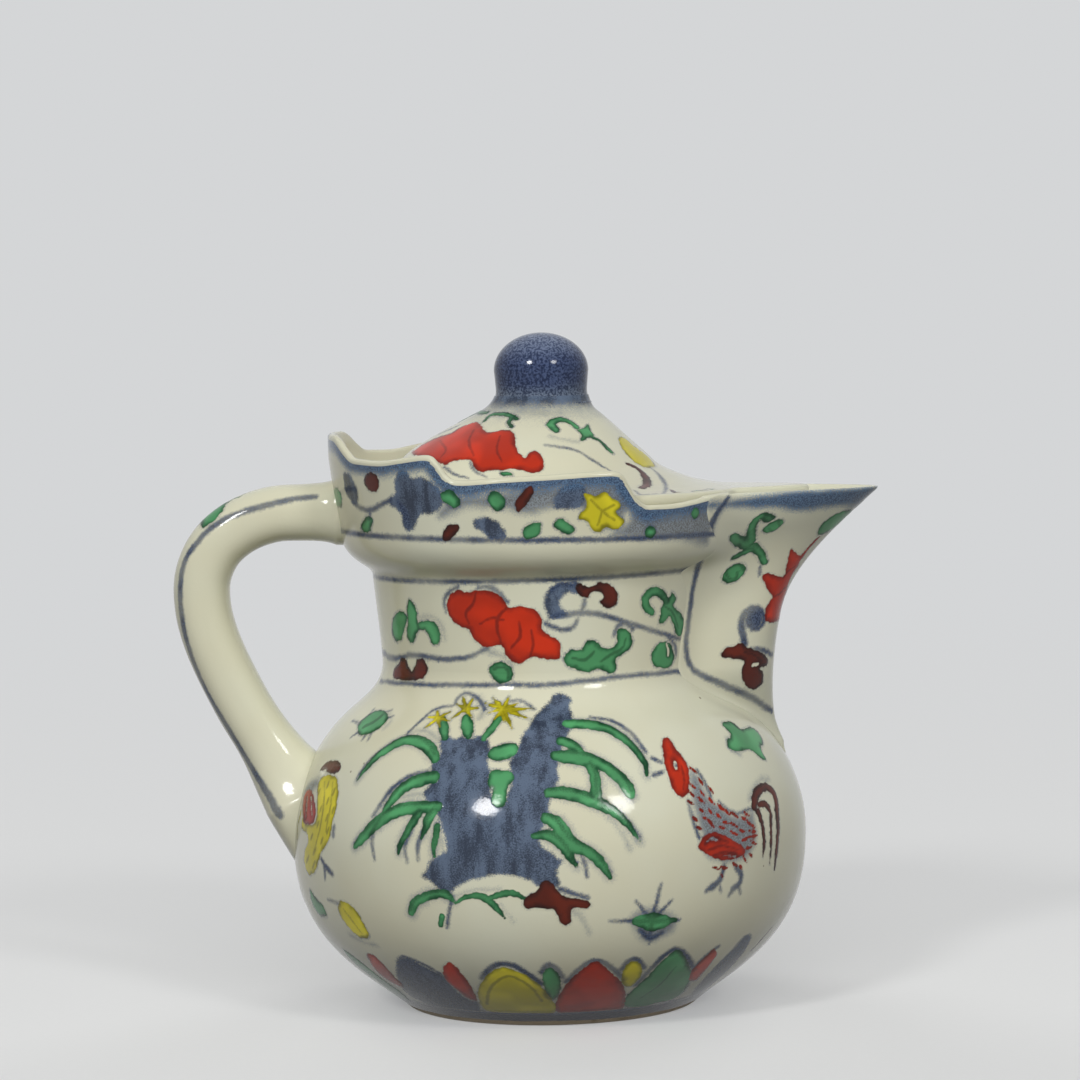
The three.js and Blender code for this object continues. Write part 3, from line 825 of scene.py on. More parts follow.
insects = [
    ("brown", "fill", 0, [
        (523, 905), (524, 900), (530, 895), (537, 890), (541, 883), (547, 880), (553, 884), (557, 890),
        (562, 895), (570, 898), (580, 899), (588, 901), (591, 904), (588, 908), (580, 908), (572, 908),
        (571, 914), (571, 921), (567, 925), (562, 924), (558, 917), (554, 910), (545, 909), (535, 908),
        (527, 909)]),
    ("line", "line", 4, [(560, 889), (572, 893), (588, 898)]),
    ("mist", "line", 6, [(573, 911), (582, 918), (589, 932)]),
    ("mist", "fill", 0, [
        (628, 918), (640, 908), (652, 905), (666, 908), (679, 917), (677, 929), (664, 939), (650, 945),
        (638, 941), (630, 928)]),
    ("green", "touch", [8, 15, 21, 17, 9, 4], [
        (636, 921), (644, 921), (652, 922), (660, 922), (668, 921), (676, 920)]),
    ("line", "line", [4, 6, 4], [(640, 930), (650, 938), (662, 933)]),
    ("green", "fill", 0, [
        (722, 724), (728, 721), (735, 724), (741, 729), (748, 727), (756, 730), (761, 737), (763, 743),
        (761, 748), (763, 754), (766, 760), (760, 758), (754, 752), (748, 749), (741, 751), (734, 751),
        (728, 747), (727, 741), (731, 735), (727, 730)]),
    ("mist", "line", 7, [(727, 738), (729, 748), (740, 754)]),
    ("green", "fill", 0, [
        (358, 732), (358, 725), (364, 718), (373, 712), (382, 710), (388, 714), (386, 722), (378, 729),
        (368, 734), (360, 735)]),
    ("shade", "line", 5, [(364, 727), (374, 722), (382, 716)]),
    ("mist", "line", 5, [(390, 712), (391, 720), (384, 728)]),
]
insects += [("line", "line", [5, 1.5], [(652, 921), tip])
            for tip in ((610, 921), (636, 901), (661, 884), (672, 900), (680, 920), (649, 944))]
insects += [("line", "line", [3.5, 1.5], [start, tip]) for start, tip in (
    ((360, 724), (352, 721)), ((359, 732), (351, 737)), ((366, 734), (362, 740)), ((372, 732), (368, 740)),
    ((384, 713), (392, 710)), ((386, 719), (393, 716)), ((370, 714), (374, 709)))]
hen = [
    ("mist", "fill", 0, [(302, 800), (308, 782), (320, 775), (320, 790), (314, 792), (305, 815)]),
    ("brown", "fill", 0, [
        (320, 771), (324, 765), (330, 761), (337, 761), (341, 764), (340, 770), (334, 774), (329, 773),
        (325, 770)]),
    ("yellow", "fill", 0, [
        (322, 777), (329, 775), (336, 777), (338, 785), (338, 796), (336, 808), (333, 820), (331, 832),
        (327, 843), (321, 853), (318, 863), (315, 872), (310, 875), (306, 869), (304, 859), (305, 850),
        (308, 842), (307, 834), (302, 828), (303, 818), (308, 825), (314, 824), (317, 812), (317, 798),
        (318, 785)]),
    ("shade", "line", [1, 2.4, 2, 1], [(325, 782), (324, 805), (320, 830), (313, 855)]),
    ("shade", "line", [1, 2, 1], [(333, 782), (331, 805), (326, 832)]),
    ("red", "fill", 0, [
        (307, 790), (303, 800), (303, 815), (305, 824), (313, 823), (316, 812), (314, 798), (310, 789)]),
    ("red", "scratch", 1.6, [(307, 797), (306, 817)]),
    ("red", "scratch", 1.6, [(311, 797), (312, 816)]),
    ("yellow", "line", 3.5, [(301, 812), (298, 825), (297, 838)]),
    ("line", "line", [4, 6, 5], [(321, 858), (326, 867), (332, 874)]),
    ("line", "line", [4, 4, 2], [(324, 864), (325, 872), (325, 880)]),
    ("line", "line", 4, [(334, 826), (333, 836)]),
    ("yellow", "fill", 0, [
        (338, 906), (341, 901), (347, 903), (353, 907), (357, 912), (362, 921), (367, 930), (369, 937),
        (362, 938), (354, 933), (347, 925), (341, 916)]),
    ("shade", "line", [1, 2, 1], [(343, 908), (352, 920), (362, 933)]),
    ("line", "line", [2, 4], [(328, 900), (340, 904)]),
    ("mist", "line", 6, [(350, 935), (364, 942), (378, 946)]),
    ("green", "fill", 0, [
        (310, 889), (316, 898), (323, 906), (327, 916), (321, 916), (315, 909), (311, 900)]),
    ("yellow", "line", 3, [(300, 886), (303, 902)]),
]
hen += [("shade", "touch", [2, 3, 1.5], [top, (top[0] - 2, top[1] + 6)]) for top in (
    (329, 782), (335, 789), (320, 790), (329, 798), (322, 806), (334, 808), (328, 815), (319, 822),
    (329, 828), (313, 834), (323, 838), (316, 848), (309, 856), (315, 862))]
rooster = [
    ("mist", "fill", 0, [
        (690, 766), (698, 771), (703, 780), (707, 790), (712, 798), (720, 803), (728, 810), (738, 813),
        (747, 811), (753, 806), (757, 822), (758, 835), (756, 848), (750, 858), (744, 862), (735, 866),
        (725, 866), (712, 862), (704, 855), (700, 842), (697, 830), (693, 815), (689, 800)]),
    ("line", "line", [2, 3, 3], [(697, 770), (704, 781), (711, 796)]),
    ("line", "line", [2, 3, 3, 2], [(719, 801), (728, 810), (739, 813), (751, 808)]),
    ("line", "line", [3, 4, 3], [(688, 800), (692, 816), (699, 838)]),
    ("red", "fill", 0, [
        (662, 741), (666, 737), (671, 740), (676, 749), (682, 756), (687, 765), (689, 773), (689, 785),
        (687, 795), (681, 797), (675, 793), (671, 784), (668, 776), (665, 765), (663, 752)]),
    ("red", "scratch", 3.4, [(675, 762), (676, 768)]),
    ("line", "dot", 2.6, [(675.5, 765)]),
    ("shade", "line", [1, 2, 1], [(681, 766), (684, 778), (683, 790)]),
    ("line", "line", 3.5, [(652, 758), (661, 762)]),
    ("line", "line", 3.5, [(654, 775), (662, 772)]),
    ("red", "fill", 0, [
        (698, 847), (701, 840), (707, 834), (714, 832), (722, 834), (730, 839), (738, 843), (744, 848),
        (745, 853), (738, 858), (728, 860), (716, 859), (708, 855), (702, 851)]),
    ("shade", "line", [1, 2.4, 2], [(704, 845), (714, 838), (728, 842)]),
    ("shade", "line", [2, 2.4, 1], [(708, 850), (722, 846), (740, 850)]),
    ("shade", "line", [1, 2, 1], [(712, 856), (724, 852), (738, 855)]),
    ("red", "scratch", [2, 3, 1], [(706, 842), (712, 839), (719, 841)]),
    ("red", "scratch", [1, 2, 1], [(722, 856), (735, 856)]),
    ("brown", "line", [9, 10, 10, 9, 9, 9, 9, 8, 7, 6, 2], [
        (754, 807), (755, 798), (759, 790), (766, 787), (772, 791), (776, 800), (777, 812), (778, 828),
        (777, 843), (776, 856), (774, 870)]),
    ("brown", "line", [6, 8, 6, 5, 5, 2], [
        (760, 805), (766, 805), (770, 812), (771, 825), (771, 842), (770, 863)]),
    ("brown", "line", [8, 6, 6, 2], [(758, 812), (762, 824), (764, 842), (763, 857)]),
    ("brown", "scratch", [1, 2.6, 2.4, 1], [(763, 799), (770, 804), (774, 816), (774, 846)]),
    ("mist", "line", 7, [(749, 800), (753, 788), (760, 780), (769, 780)]),
    ("line", "line", [5, 5, 6, 7, 3], [(724, 866), (722, 874), (719, 881), (712, 887), (706, 891)]),
    ("line", "line", [5, 6, 6, 6, 3], [(736, 867), (741, 875), (739, 884), (733, 889), (729, 896)]),
    ("line", "line", [3, 2], [(719, 883), (721, 892)]),
    ("line", "line", [3, 2], [(738, 886), (741, 894)]),
]
featherTicks = [
    ((689, 767), (697, 773)), ((698, 778), (703, 785)), ((690, 783), (695, 788)), ((708, 786), (713, 793)),
    ((689, 791), (695, 797)), ((700, 790), (704, 796)), ((698, 797), (704, 803)), ((709, 798), (714, 804)),
    ((688, 801), (694, 805)), ((708, 808), (713, 815)), ((718, 804), (723, 810)), ((723, 809), (730, 815)),
    ((731, 812), (738, 817)), ((717, 813), (721, 819)), ((693, 817), (698, 822)), ((703, 817), (709, 820)),
    ((708, 820), (714, 827)), ((723, 822), (730, 823)), ((731, 823), (738, 827)), ((720, 827), (726, 829)),
    ((730, 831), (737, 835)), ((697, 827), (702, 830)), ((744, 812), (749, 816)), ((741, 817), (747, 820)),
    ((748, 823), (755, 827)), ((740, 830), (745, 832)), ((749, 831), (756, 832)), ((742, 840), (748, 838)),
    ((749, 837), (757, 836)), ((745, 849), (751, 847)), ((749, 853), (752, 857)), ((743, 857), (747, 862)),
    ((733, 863), (738, 867)), ((739, 865), (742, 869)), ((713, 867), (719, 869)), ((721, 867), (727, 868)),
    ((720, 873), (723, 877)), ((700, 809), (704, 813)), ((751, 841), (756, 844))]
rooster += [("red", "touch", [2.5, 3.8, 2], [start, end]) for start, end in featherTicks]
# Painted shade: a layer of dark cobalt over the two slate petals low on the belly, darkening them as though
# they lay in shade where the belly turns down. The petals' own slate is laid further down
lotusPaintedShade = [
    [(397, 966), (406, 958), (430, 970), (452, 986), (478, 1003), (478, 1013), (450, 1009), (405, 991)],
    [(690, 1003), (703, 980), (727, 956), (745, 936), (751, 936), (738, 959), (712, 984), (700, 994)],
]
lotusBand = [("line", "flat", 0.05, outline) for outline in lotusPaintedShade]
lotusBand += [
    ("green", "fill", 0, [
        (343, 949), (352, 955), (366, 966), (384, 980), (402, 993), (412, 1003), (404, 1001), (392, 992),
        (376, 980), (360, 968), (349, 958)]),
    ("red", "fill", 0, [
        (367, 954), (373, 955), (379, 960), (387, 968), (395, 977), (402, 984), (404, 988), (396, 985),
        (386, 979), (377, 972), (370, 962)]),
    ("wash", "fill", 0, [
        (397, 966), (400, 959), (406, 958), (415, 962), (430, 970), (445, 977), (452, 986), (462, 996),
        (478, 1003), (478, 1013), (450, 1009), (425, 1003), (405, 991), (398, 979)]),
    ("line", "line", 3.5, [(398, 962), (402, 957), (416, 961), (432, 969), (446, 977)]),
    ("red", "fill", 0, [
        (443, 974), (444, 966), (449, 962), (454, 965), (461, 972), (468, 982), (474, 992), (477, 1001),
        (468, 999), (457, 990), (448, 982)]),
    ("yellow", "fill", 0, [
        (479, 1001), (478, 991), (482, 982), (488, 974), (496, 969), (504, 967), (514, 970), (526, 975),
        (538, 983), (546, 992), (553, 1001), (558, 1009), (554, 1013), (530, 1014), (505, 1013),
        (485, 1010)]),
    ("shade", "line", 2.6, [
        (487, 1004), (489, 991), (497, 981), (508, 976), (521, 980), (533, 989), (542, 1001)]),
    ("line", "line", 6.5, [(482, 978), (491, 968), (502, 964), (514, 966), (528, 974), (541, 984)]),
    ("green", "fill", 0, [
        (543, 973), (548, 968), (555, 970), (560, 978), (561, 988), (557, 997), (551, 1001), (546, 993),
        (543, 983)]),
    ("line", "line", 6.5, [(542, 972), (548, 965), (555, 968), (562, 977)]),
    ("red", "fill", 0, [
        (556, 1011), (557, 1000), (562, 990), (570, 980), (580, 971), (588, 965), (596, 961), (604, 966),
        (613, 974), (621, 982), (625, 990), (625, 1000), (622, 1010), (610, 1013), (590, 1014),
        (570, 1014)]),
    ("line", "line", 6, [(566, 982), (580, 969), (593, 961), (602, 962), (613, 969), (624, 979)]),
    ("yellow", "fill", 0, [
        (622, 983), (622, 974), (626, 966), (633, 961), (639, 962), (642, 969), (640, 977), (634, 984),
        (628, 987)]),
    ("line", "line", 5.5, [(622, 969), (630, 960), (638, 960), (644, 968)]),
    ("green", "fill", 0, [
        (623, 1005), (626, 997), (636, 987), (648, 976), (660, 963), (670, 954), (677, 949), (683, 953),
        (688, 962), (691, 971), (690, 982), (684, 992), (671, 1000), (655, 1004), (638, 1008)]),
    ("line", "line", 6, [(636, 985), (650, 970), (664, 956), (676, 949), (686, 956), (694, 970)]),
    ("shade", "line", [1, 2, 1], [(640, 998), (660, 984), (676, 966)]),
    ("red", "fill", 0, [
        (689, 980), (692, 970), (700, 962), (708, 954), (714, 949), (717, 953), (711, 963), (703, 973),
        (695, 981)]),
    ("line", "line", 5, [(696, 966), (708, 954), (718, 947)]),
    ("wash", "fill", 0, [
        (690, 1003), (694, 991), (703, 980), (715, 968), (727, 956), (738, 945), (745, 936), (751, 936),
        (746, 948), (738, 959), (727, 971), (712, 984), (700, 994)]),
    ("line", "line", 5, [(714, 969), (732, 951), (748, 936)]),
    ("brown", "line", [3, 3, 2], [(752, 950), (762, 939), (772, 927)]),
]

# The scroll round the neck
neckScroll = [
    ("line", "line", 4, [
        (380, 681), (400, 683), (440, 685), (480, 685), (520, 685), (545, 685), (585, 681), (635, 675),
        (677, 672), (693, 671)]),
    ("line", "line", 5.5, [(697, 571), (694, 586), (690, 610), (686, 640), (688, 660), (694, 672)]),
    ("line", "line", [6, 6, 5, 5, 5, 5, 4, 3], [
        (380, 649), (389, 657), (400, 658), (411, 655), (433, 658), (450, 659), (468, 657), (488, 648)]),
    ("mist", "line", 8, [(484, 651), (500, 655), (512, 664)]),
    ("red", "fill", 0, [
        (448, 612), (447, 602), (451, 594), (458, 590), (466, 592), (473, 591), (480, 590), (487, 590),
        (494, 592), (500, 596), (505, 602), (509, 607), (515, 607), (523, 606), (531, 608), (538, 612),
        (542, 620), (542, 629), (546, 633), (553, 637), (559, 642), (561, 650), (559, 658), (550, 660),
        (542, 659), (533, 657), (527, 660), (520, 664), (513, 662), (507, 657), (504, 650), (501, 645),
        (494, 646), (486, 647), (478, 643), (472, 637), (469, 630), (462, 627), (454, 622), (449, 616)]),
    ("line", "line", [2, 4, 3], [(446, 612), (444, 602), (449, 592), (458, 587)]),
    ("line", "line", [3, 5, 4], [(478, 588), (488, 587), (498, 592), (507, 602)]),
    ("shade", "line", [1, 3, 1], [(476, 593), (473, 604), (466, 613), (469, 624)]),
    ("shade", "line", [1, 3, 3, 1], [(507, 608), (499, 616), (497, 628), (501, 642)]),
    ("shade", "line", [1, 2.4, 1], [(480, 624), (492, 618), (504, 620)]),
    ("shade", "line", [1, 3, 1], [(519, 621), (520, 636), (511, 648)]),
    ("shade", "line", [1, 2.4, 1], [(531, 630), (533, 645), (530, 657)]),
    ("green", "fill", 0, [
        (392, 628), (393, 619), (398, 612), (405, 613), (407, 620), (404, 630), (401, 640), (397, 642),
        (393, 637)]),
    ("green", "fill", 0, [
        (409, 599), (414, 604), (417, 612), (417, 620), (419, 628), (416, 636), (412, 643), (408, 639),
        (407, 630), (408, 620), (407, 609)]),
    ("green", "fill", 0, [
        (418, 623), (424, 621), (431, 621), (437, 625), (440, 632), (440, 640), (437, 645), (432, 643),
        (429, 636), (425, 630), (419, 629)]),
    ("mist", "line", 5, [(420, 617), (432, 617), (442, 626), (445, 640)]),
    ("brown", "fill", 0, [
        (394, 678), (394, 670), (398, 664), (402, 657), (406, 660), (409, 667), (412, 671), (415, 666),
        (417, 660), (423, 659), (427, 664), (428, 671), (423, 678), (415, 680), (405, 680)]),
    ("green", "fill", 0, [
        (489, 669), (493, 664), (501, 662), (509, 665), (513, 672), (512, 679), (506, 683), (498, 683),
        (492, 677)]),
    ("shade", "line", 2, [(494, 669), (502, 667), (508, 671), (508, 678)]),
    ("wash", "line", [7, 10, 13, 15, 15, 13, 8], [
        (577, 590), (567, 588), (558, 591), (553, 597), (552, 605), (555, 612), (563, 614)]),
    ("line", "line", [3, 4, 3], [(575, 586), (562, 584), (550, 591)]),
    ("line", "line", [4, 5, 5, 5, 4, 4, 4], [
        (550, 617), (568, 614), (585, 613), (602, 615), (628, 623), (658, 632), (680, 639)]),
    ("line", "line", [4, 4, 3], [(546, 624), (556, 628), (566, 630), (574, 626), (577, 620)]),
    ("line", "line", [4, 3], [(585, 600), (583, 608), (580, 615)]),
    ("line", "line", 4, [(573, 579), (578, 585)]),
    ("brown", "fill", 0, [
        (576, 586), (580, 583), (586, 586), (593, 586), (599, 582), (607, 583), (614, 588), (618, 596),
        (616, 604), (610, 608), (603, 607), (600, 602), (603, 597), (602, 593), (597, 591), (591, 593),
        (588, 598), (582, 597), (577, 591)]),
    ("green", "line", [8, 10, 10, 10, 9, 8], [
        (652, 612), (646, 606), (646, 598), (652, 592), (660, 593), (666, 600)]),
    ("green", "fill", 0, [
        (668, 600), (672, 592), (676, 598), (673, 606), (679, 611), (684, 620), (683, 630), (680, 637),
        (676, 634), (673, 625), (669, 617), (664, 623), (659, 624), (660, 616), (661, 608), (664, 602)]),
    ("shade", "line", [1, 2, 1], [(664, 606), (672, 612), (678, 628)]),
    ("green", "fill", 0, [
        (564, 660), (566, 653), (573, 650), (582, 649), (585, 643), (591, 640), (598, 643), (603, 648),
        (611, 648), (616, 644), (617, 637), (617, 631), (621, 628), (628, 630), (632, 637), (632, 645),
        (628, 650), (621, 655), (616, 660), (616, 668), (611, 674), (605, 671), (596, 669), (588, 672),
        (578, 670), (569, 667)]),
    ("shade", "line", [1, 3, 2], [(572, 658), (584, 660), (594, 652)]),
    ("shade", "line", [1, 3, 2, 1], [(600, 662), (610, 655), (622, 648), (626, 638)]),
    ("line", "line", [3, 5, 4], [(614, 636), (618, 626), (626, 623), (633, 629)]),
    ("green", "fill", 0, [
        (652, 662), (652, 652), (657, 645), (664, 642), (670, 644), (673, 651), (674, 659), (669, 667),
        (662, 668), (655, 666)]),
    ("green", "scratch", 2.4, [(666, 643), (668, 649), (668, 656)]),
    ("line", "line", [3, 4, 2], [(669, 638), (675, 645), (676, 656)]),
]


# Foot ring: a turned ring with softened edges
def makeFoot():
    p = potSet
    outline = np.concatenate([
        bezier((p["footRadius"] - 1, 0), (p["footRadius"] - 0.4, 0), (p["footRadius"], 0.15),
               (p["footRadius"] + 0.3, 0.5), 6),
        evenly(np.array([(p["footRadius"] + 0.3, 0.5), (p["footTop"], p["footHeight"])]), 0.4)[1:],
        [(p["footTop"] - 0.6, p["footHeight"]), (p["footInner"], p["footHeight"])],
        bezier((p["footInner"], 1.2), (p["footInner"], 0.4), (p["footInner"] + 0.4, 0),
               (p["footInner"] + 1.1, 0), 6)])
    piece = makeSkin("foot_ring_clay", turned(outline, allAngles[::2]), wrapRows=True)
    finishSkin(piece, "ewer", "bare_foot", footClay, "foot_ring")


# Belly and neck share one painted side, which is then cut into the three thrown pieces
def makePot():
    p = potSet
    runs = [evenly(potRun(name), p["grain"]) for name in ("lower", "upper", "neck")]
    ends = np.cumsum([len(run) - 1 for run in runs])
    side = turned(np.concatenate([runs[0], runs[1][1:], runs[2][1:]]), allAngles)
    surface = turnedSurface(side)
    paint(surface, rockery + blades + insects + hen + rooster + lotusBand + neckScroll)
    paintRing(surface, "line", *p["neckLine"])
    paintRing(surface, "line", *p["footLine"])
    print("belly and neck painted")

    # lower belly: a bowl with a thick base that is hollowed a little under the pot
    floor = p["footHeight"] + p["base"]
    foot, wide = np.array([p["footTop"], floor]), np.array(p["belly"]) - [p["bellyWall"], 0]
    bowl = bezier(foot - [1, 0], foot + p["bowlTurn"], wide - [0, p["bowlRise"]], wide)
    bowl = evenly(bowl, p["insideGrain"])
    radii = np.array([*p["underRings"], p["footInner"]])
    under = np.stack([radii, p["footHeight"] + p["underHollow"] * (1 - (radii / p["footInner"]) ** 2)], -1)
    inner = np.concatenate([bowl[::-1], [(radius, floor) for radius in p["floorRings"]], under])
    grid = np.concatenate([side[:ends[0] + 1], turned(inner, allAngles)])
    layers = paintOf(surface, grid, slice(0, ends[0] + 1))
    piece = makeSkin("lower_belly_glaze", grid, layers, wrapRows=True)
    finishSkin(piece, "ewer", "painted_glaze", potGlaze, "lower_belly")

    # upper belly: the shoulder, with its inside parallel to its outside
    rows = slice(ends[0], ends[1] + 1)
    inner = evenly(potRun("upper") - [p["bellyWall"], 0], p["insideGrain"])[::-1]
    grid = np.concatenate([side[rows], turned(inner, allAngles)])
    piece = makeSkin("upper_belly_glaze", grid, paintOf(surface, grid, rows), wrapRows=True)
    finishSkin(piece, "ewer", "painted_glaze", potGlaze, "upper_belly")

    # neck: in front of the spout its rows are drawn together below the sill of the opening
    rows = slice(ends[1], ends[2] + 1)
    inner = evenly(potRun("neck") - [p["neckWall"], 0], p["insideGrain"])[::-1]
    grid = np.concatenate([side[rows], turned(inner, allAngles)])
    layers = paintOf(surface, grid, rows)
    window = np.abs(allAngles - 90) < p["windowHalfAngle"]
    root, top = p["neckRoot"][1], p["neckTop"][1]
    share = (p["windowSill"] - root) / (top - root)
    grid[:, window, 2] = root + (grid[:, window, 2] - root) * share
    for key in pigments:
        layers[key][:, window] = farOutside
    piece = makeSkin("neck_glaze", grid, layers, wrapRows=True)
    finishSkin(piece, "ewer", "painted_glaze", potGlaze, "neck")


# The collar's stepped edge, as places along the pot and heights
collarSet = {
    "edge": [
        (-50, 111.4), (-41, 111.4), (-39.9, 111.2), (-37.7, 108.7), (-36.3, 107.4), (-34.3, 107.1),
        (-30.3, 107.0), (-26.5, 107.6), (-21.9, 108.2), (-20.8, 107.9), (-19.5, 106.4), (-18.4, 104.6),
        (-17.1, 103.7), (-15.3, 103.5), (-7.9, 104.0), (1.3, 104.4), (10.5, 104.8), (13.6, 104.7),
        (14.9, 104.1), (16.5, 101.6), (17.8, 99.7), (19.7, 98.3), (21.5, 98.2), (25.3, 98.2), (29.2, 98.7),
        (33.5, 99.4), (45, 99.5)],
    "bandRows": 46,
    "lipRows": 9,
    "insideRows": 14,
    "whiteEdge": 0.85,  # bare rim, and how deep the blue below it starts and how fast it thins
    "edgeDepth": 1.05,
    "edgeFall": 0.5,
    "edgeFrom": 94.0,  # height under which the edge's blue doesn't come
    "edgeReach": 40.0,  # how far the edge runs towards the spout
    "bandLine": (92.35, -0.012, 0.9),
    "softEdge": 0.3,
    "leastInside": 0.2,
    "ledgeTop": 97.2,
    "ledgeInner": 34.6,
    "ledgeThickness": 2.0,
}
collarPaint = [
    ("mist", "fill", 0, [
        (437, 478), (450, 491), (480, 492), (520, 487), (560, 482), (600, 479), (624, 482), (634, 500),
        (626, 520), (604, 534), (576, 511), (550, 512), (530, 517), (505, 513), (480, 511), (462, 513),
        (450, 518), (438, 521), (436, 512), (443, 500)]),
    ("mist", "fill", 0, [
        (628, 506), (640, 508), (660, 511), (690, 508), (715, 502), (731, 495), (724, 512), (713, 532),
        (707, 547), (680, 543), (640, 542), (606, 538), (612, 528), (626, 520)]),
    ("wash", "fill", 0, [
        (395, 480), (399, 471), (406, 471), (411, 478), (420, 477), (430, 481), (439, 489), (442, 499),
        (440, 508), (430, 514), (422, 514), (418, 518), (414, 528), (408, 531), (403, 525), (402, 517),
        (397, 509), (390, 505), (390, 497), (395, 495), (395, 487)]),
    ("line", "line", [4, 8, 7], [(398, 502), (405, 513), (408, 526)]),
    ("wash", "fill", 0, [
        (344, 473), (349, 474), (354, 482), (357, 490), (358, 498), (356, 505), (352, 502), (346, 493),
        (344, 482)]),
    ("line", "line", [3, 5, 5, 5, 4], [(352, 501), (359, 507), (369, 510), (379, 506), (390, 500)]),
    ("line", "line", [4, 3], [(370, 510), (370, 519)]),
    ("wash", "fill", 0, [
        (474, 521), (480, 518), (489, 518), (498, 523), (504, 530), (506, 537), (498, 540), (489, 538),
        (481, 531), (476, 528)]),
    ("wash", "fill", 0, [
        (553, 505), (556, 494), (563, 487), (573, 484), (583, 486), (586, 493), (584, 502), (577, 508),
        (565, 509), (557, 509)]),
    ("brown", "fill", 0, [
        (364, 482), (366, 475), (371, 472), (377, 476), (379, 485), (376, 492), (370, 491), (366, 487)]),
    ("brown", "fill", 0, [
        (443, 540), (443, 532), (447, 526), (453, 524), (459, 526), (458, 532), (453, 537), (448, 541)]),
    ("brown", "fill", 0, [
        (518, 512), (515, 504), (519, 496), (526, 488), (531, 486), (534, 492), (530, 500), (525, 507)]),
    ("green", "fill", 0, [
        (332, 494), (336, 487), (340, 492), (342, 500), (341, 507), (336, 505), (332, 500)]),
    ("green", "fill", 0, [
        (361, 528), (363, 521), (367, 516), (372, 518), (372, 526), (369, 532), (364, 532)]),
    ("green", "fill", 0, [
        (441, 494), (446, 490), (453, 491), (459, 498), (460, 505), (455, 508), (447, 504), (442, 500)]),
    ("green", "fill", 0, [
        (488, 496), (494, 491), (501, 494), (505, 501), (503, 508), (497, 511), (491, 507), (488, 501)]),
    ("green", "fill", 0, [
        (523, 534), (525, 527), (532, 523), (540, 523), (541, 529), (537, 536), (530, 539), (525, 539)]),
    ("green", "fill", 0, [
        (554, 525), (557, 520), (563, 519), (570, 524), (575, 530), (570, 534), (561, 532)]),
    ("green", "dot", 12, [(650, 532)]),
    ("green", "dot", 11, [(695, 513)]),
    ("yellow", "fill", 0, [
        (584, 494), (590, 494), (596, 497), (601, 493), (607, 493), (612, 498), (618, 501), (621, 506),
        (616, 512), (619, 516), (624, 521), (620, 528), (612, 529), (605, 528), (601, 532), (595, 532),
        (590, 527), (587, 521), (579, 519), (580, 514), (586, 509), (586, 502)]),
    ("shade", "line", 1.6, [(602, 511), (591, 500)]),
    ("shade", "line", 1.6, [(602, 511), (614, 520)]),
    ("shade", "line", 1.6, [(602, 511), (598, 525)]),
    ("shade", "line", 1.6, [(602, 511), (614, 505)]),
]


# Collar: for each angle the wall ends at the edge's height there, in a round white lip of the wall's
# thickness
def makeCollar():
    p, c = potSet, collarSet
    outside = np.abs(allAngles - 90) >= p["windowHalfAngle"]
    start = int(np.flatnonzero(~outside)[-1]) + 1
    order = np.roll(np.arange(len(allAngles)), -start)[:int(outside.sum())]
    angles = allAngles[order]
    edge = throughPoints(c["edge"], steps=8)
    reach = p["collarRim"][0] * np.sin(np.radians(angles))
    top = np.interp(reach, edge[:, 0], edge[:, 1])
    wall = p["collarWall"]
    lip = wall / 2

    flare = turned(evenly(potRun("flare"), p["grain"]), angles)
    share = np.linspace(0, 1, c["bandRows"])[1:, None]
    height = p["collarFoot"][1] + share * (top - lip - p["collarFoot"][1])[None, :]
    radius = potRadius(height)
    turnAngle = np.radians(np.linspace(0, 180, c["lipRows"]))[1:, None]
    lipRadius = potRadius(top - lip)[None, :] - lip + lip * np.cos(turnAngle)
    lipHeight = (top - lip)[None, :] + lip * np.sin(turnAngle)
    down = np.linspace(1, 0, c["insideRows"])[1:, None]
    insideHeight = c["ledgeTop"] + down * np.maximum(top - lip - c["ledgeTop"], c["leastInside"])[None, :]
    insideRadius = potRadius(insideHeight) - wall
    radius = np.concatenate([radius, lipRadius, insideRadius])
    height = np.concatenate([height, lipHeight, insideHeight])
    around = np.radians(angles)[None, :]
    wallGrid = np.stack([radius * np.sin(around), -radius * np.cos(around), height], -1)
    bottom = c["ledgeTop"] - c["ledgeThickness"]
    soft = c["softEdge"]
    inner = np.concatenate([
        [(c["ledgeInner"] + soft, c["ledgeTop"]), (c["ledgeInner"], c["ledgeTop"] - soft),
         (c["ledgeInner"], bottom)],
        evenly(potRun("flare") - [p["neckWall"], 0], 1.0)[::-1]])
    grid = np.concatenate([flare, wallGrid, turned(inner, angles)])

    painted = len(flare) + c["bandRows"] - 1 + c["lipRows"] // 2  # up to the top of the lip
    surface = turnedSurface(grid[:painted], wrapColumns=False)
    paint(surface, collarPaint)
    paintRing(surface, "line", *p["neckLine"])
    paintRing(surface, "line", *c["bandLine"])
    near = edge[(edge[:, 0] > -p["collarRim"][0]) & (edge[:, 0] < c["edgeReach"])]
    line = np.stack([np.arcsin(near[:, 0] / p["collarRim"][0]),
                     np.interp(near[:, 1], potSide[:, 1], potSideLength)], -1).astype(np.float32)
    close = np.flatnonzero(surface["grid"][..., 2].ravel() > c["edgeFrom"])
    nothing = np.zeros(len(line), np.float32)
    for part in np.array_split(close, len(close) // paintSet["batch"] + 1):
        below = -nearness(surface, part, line, nothing, False) - c["whiteEdge"]
        keepLarger(surface, "edge", part, c["edgeDepth"] - below * c["edgeFall"])
        for key in pigments:
            surface[key][part] = np.where(below < 0, farOutside, surface[key][part])
    print("collar painted")
    piece = makeSkin("collar_glaze", grid, paintOf(surface, grid), wrapColumns=False, wrapRows=True,
                     capEnds="columns")
    finishSkin(piece, "ewer", "collar_glaze", collarGlaze, "collar")


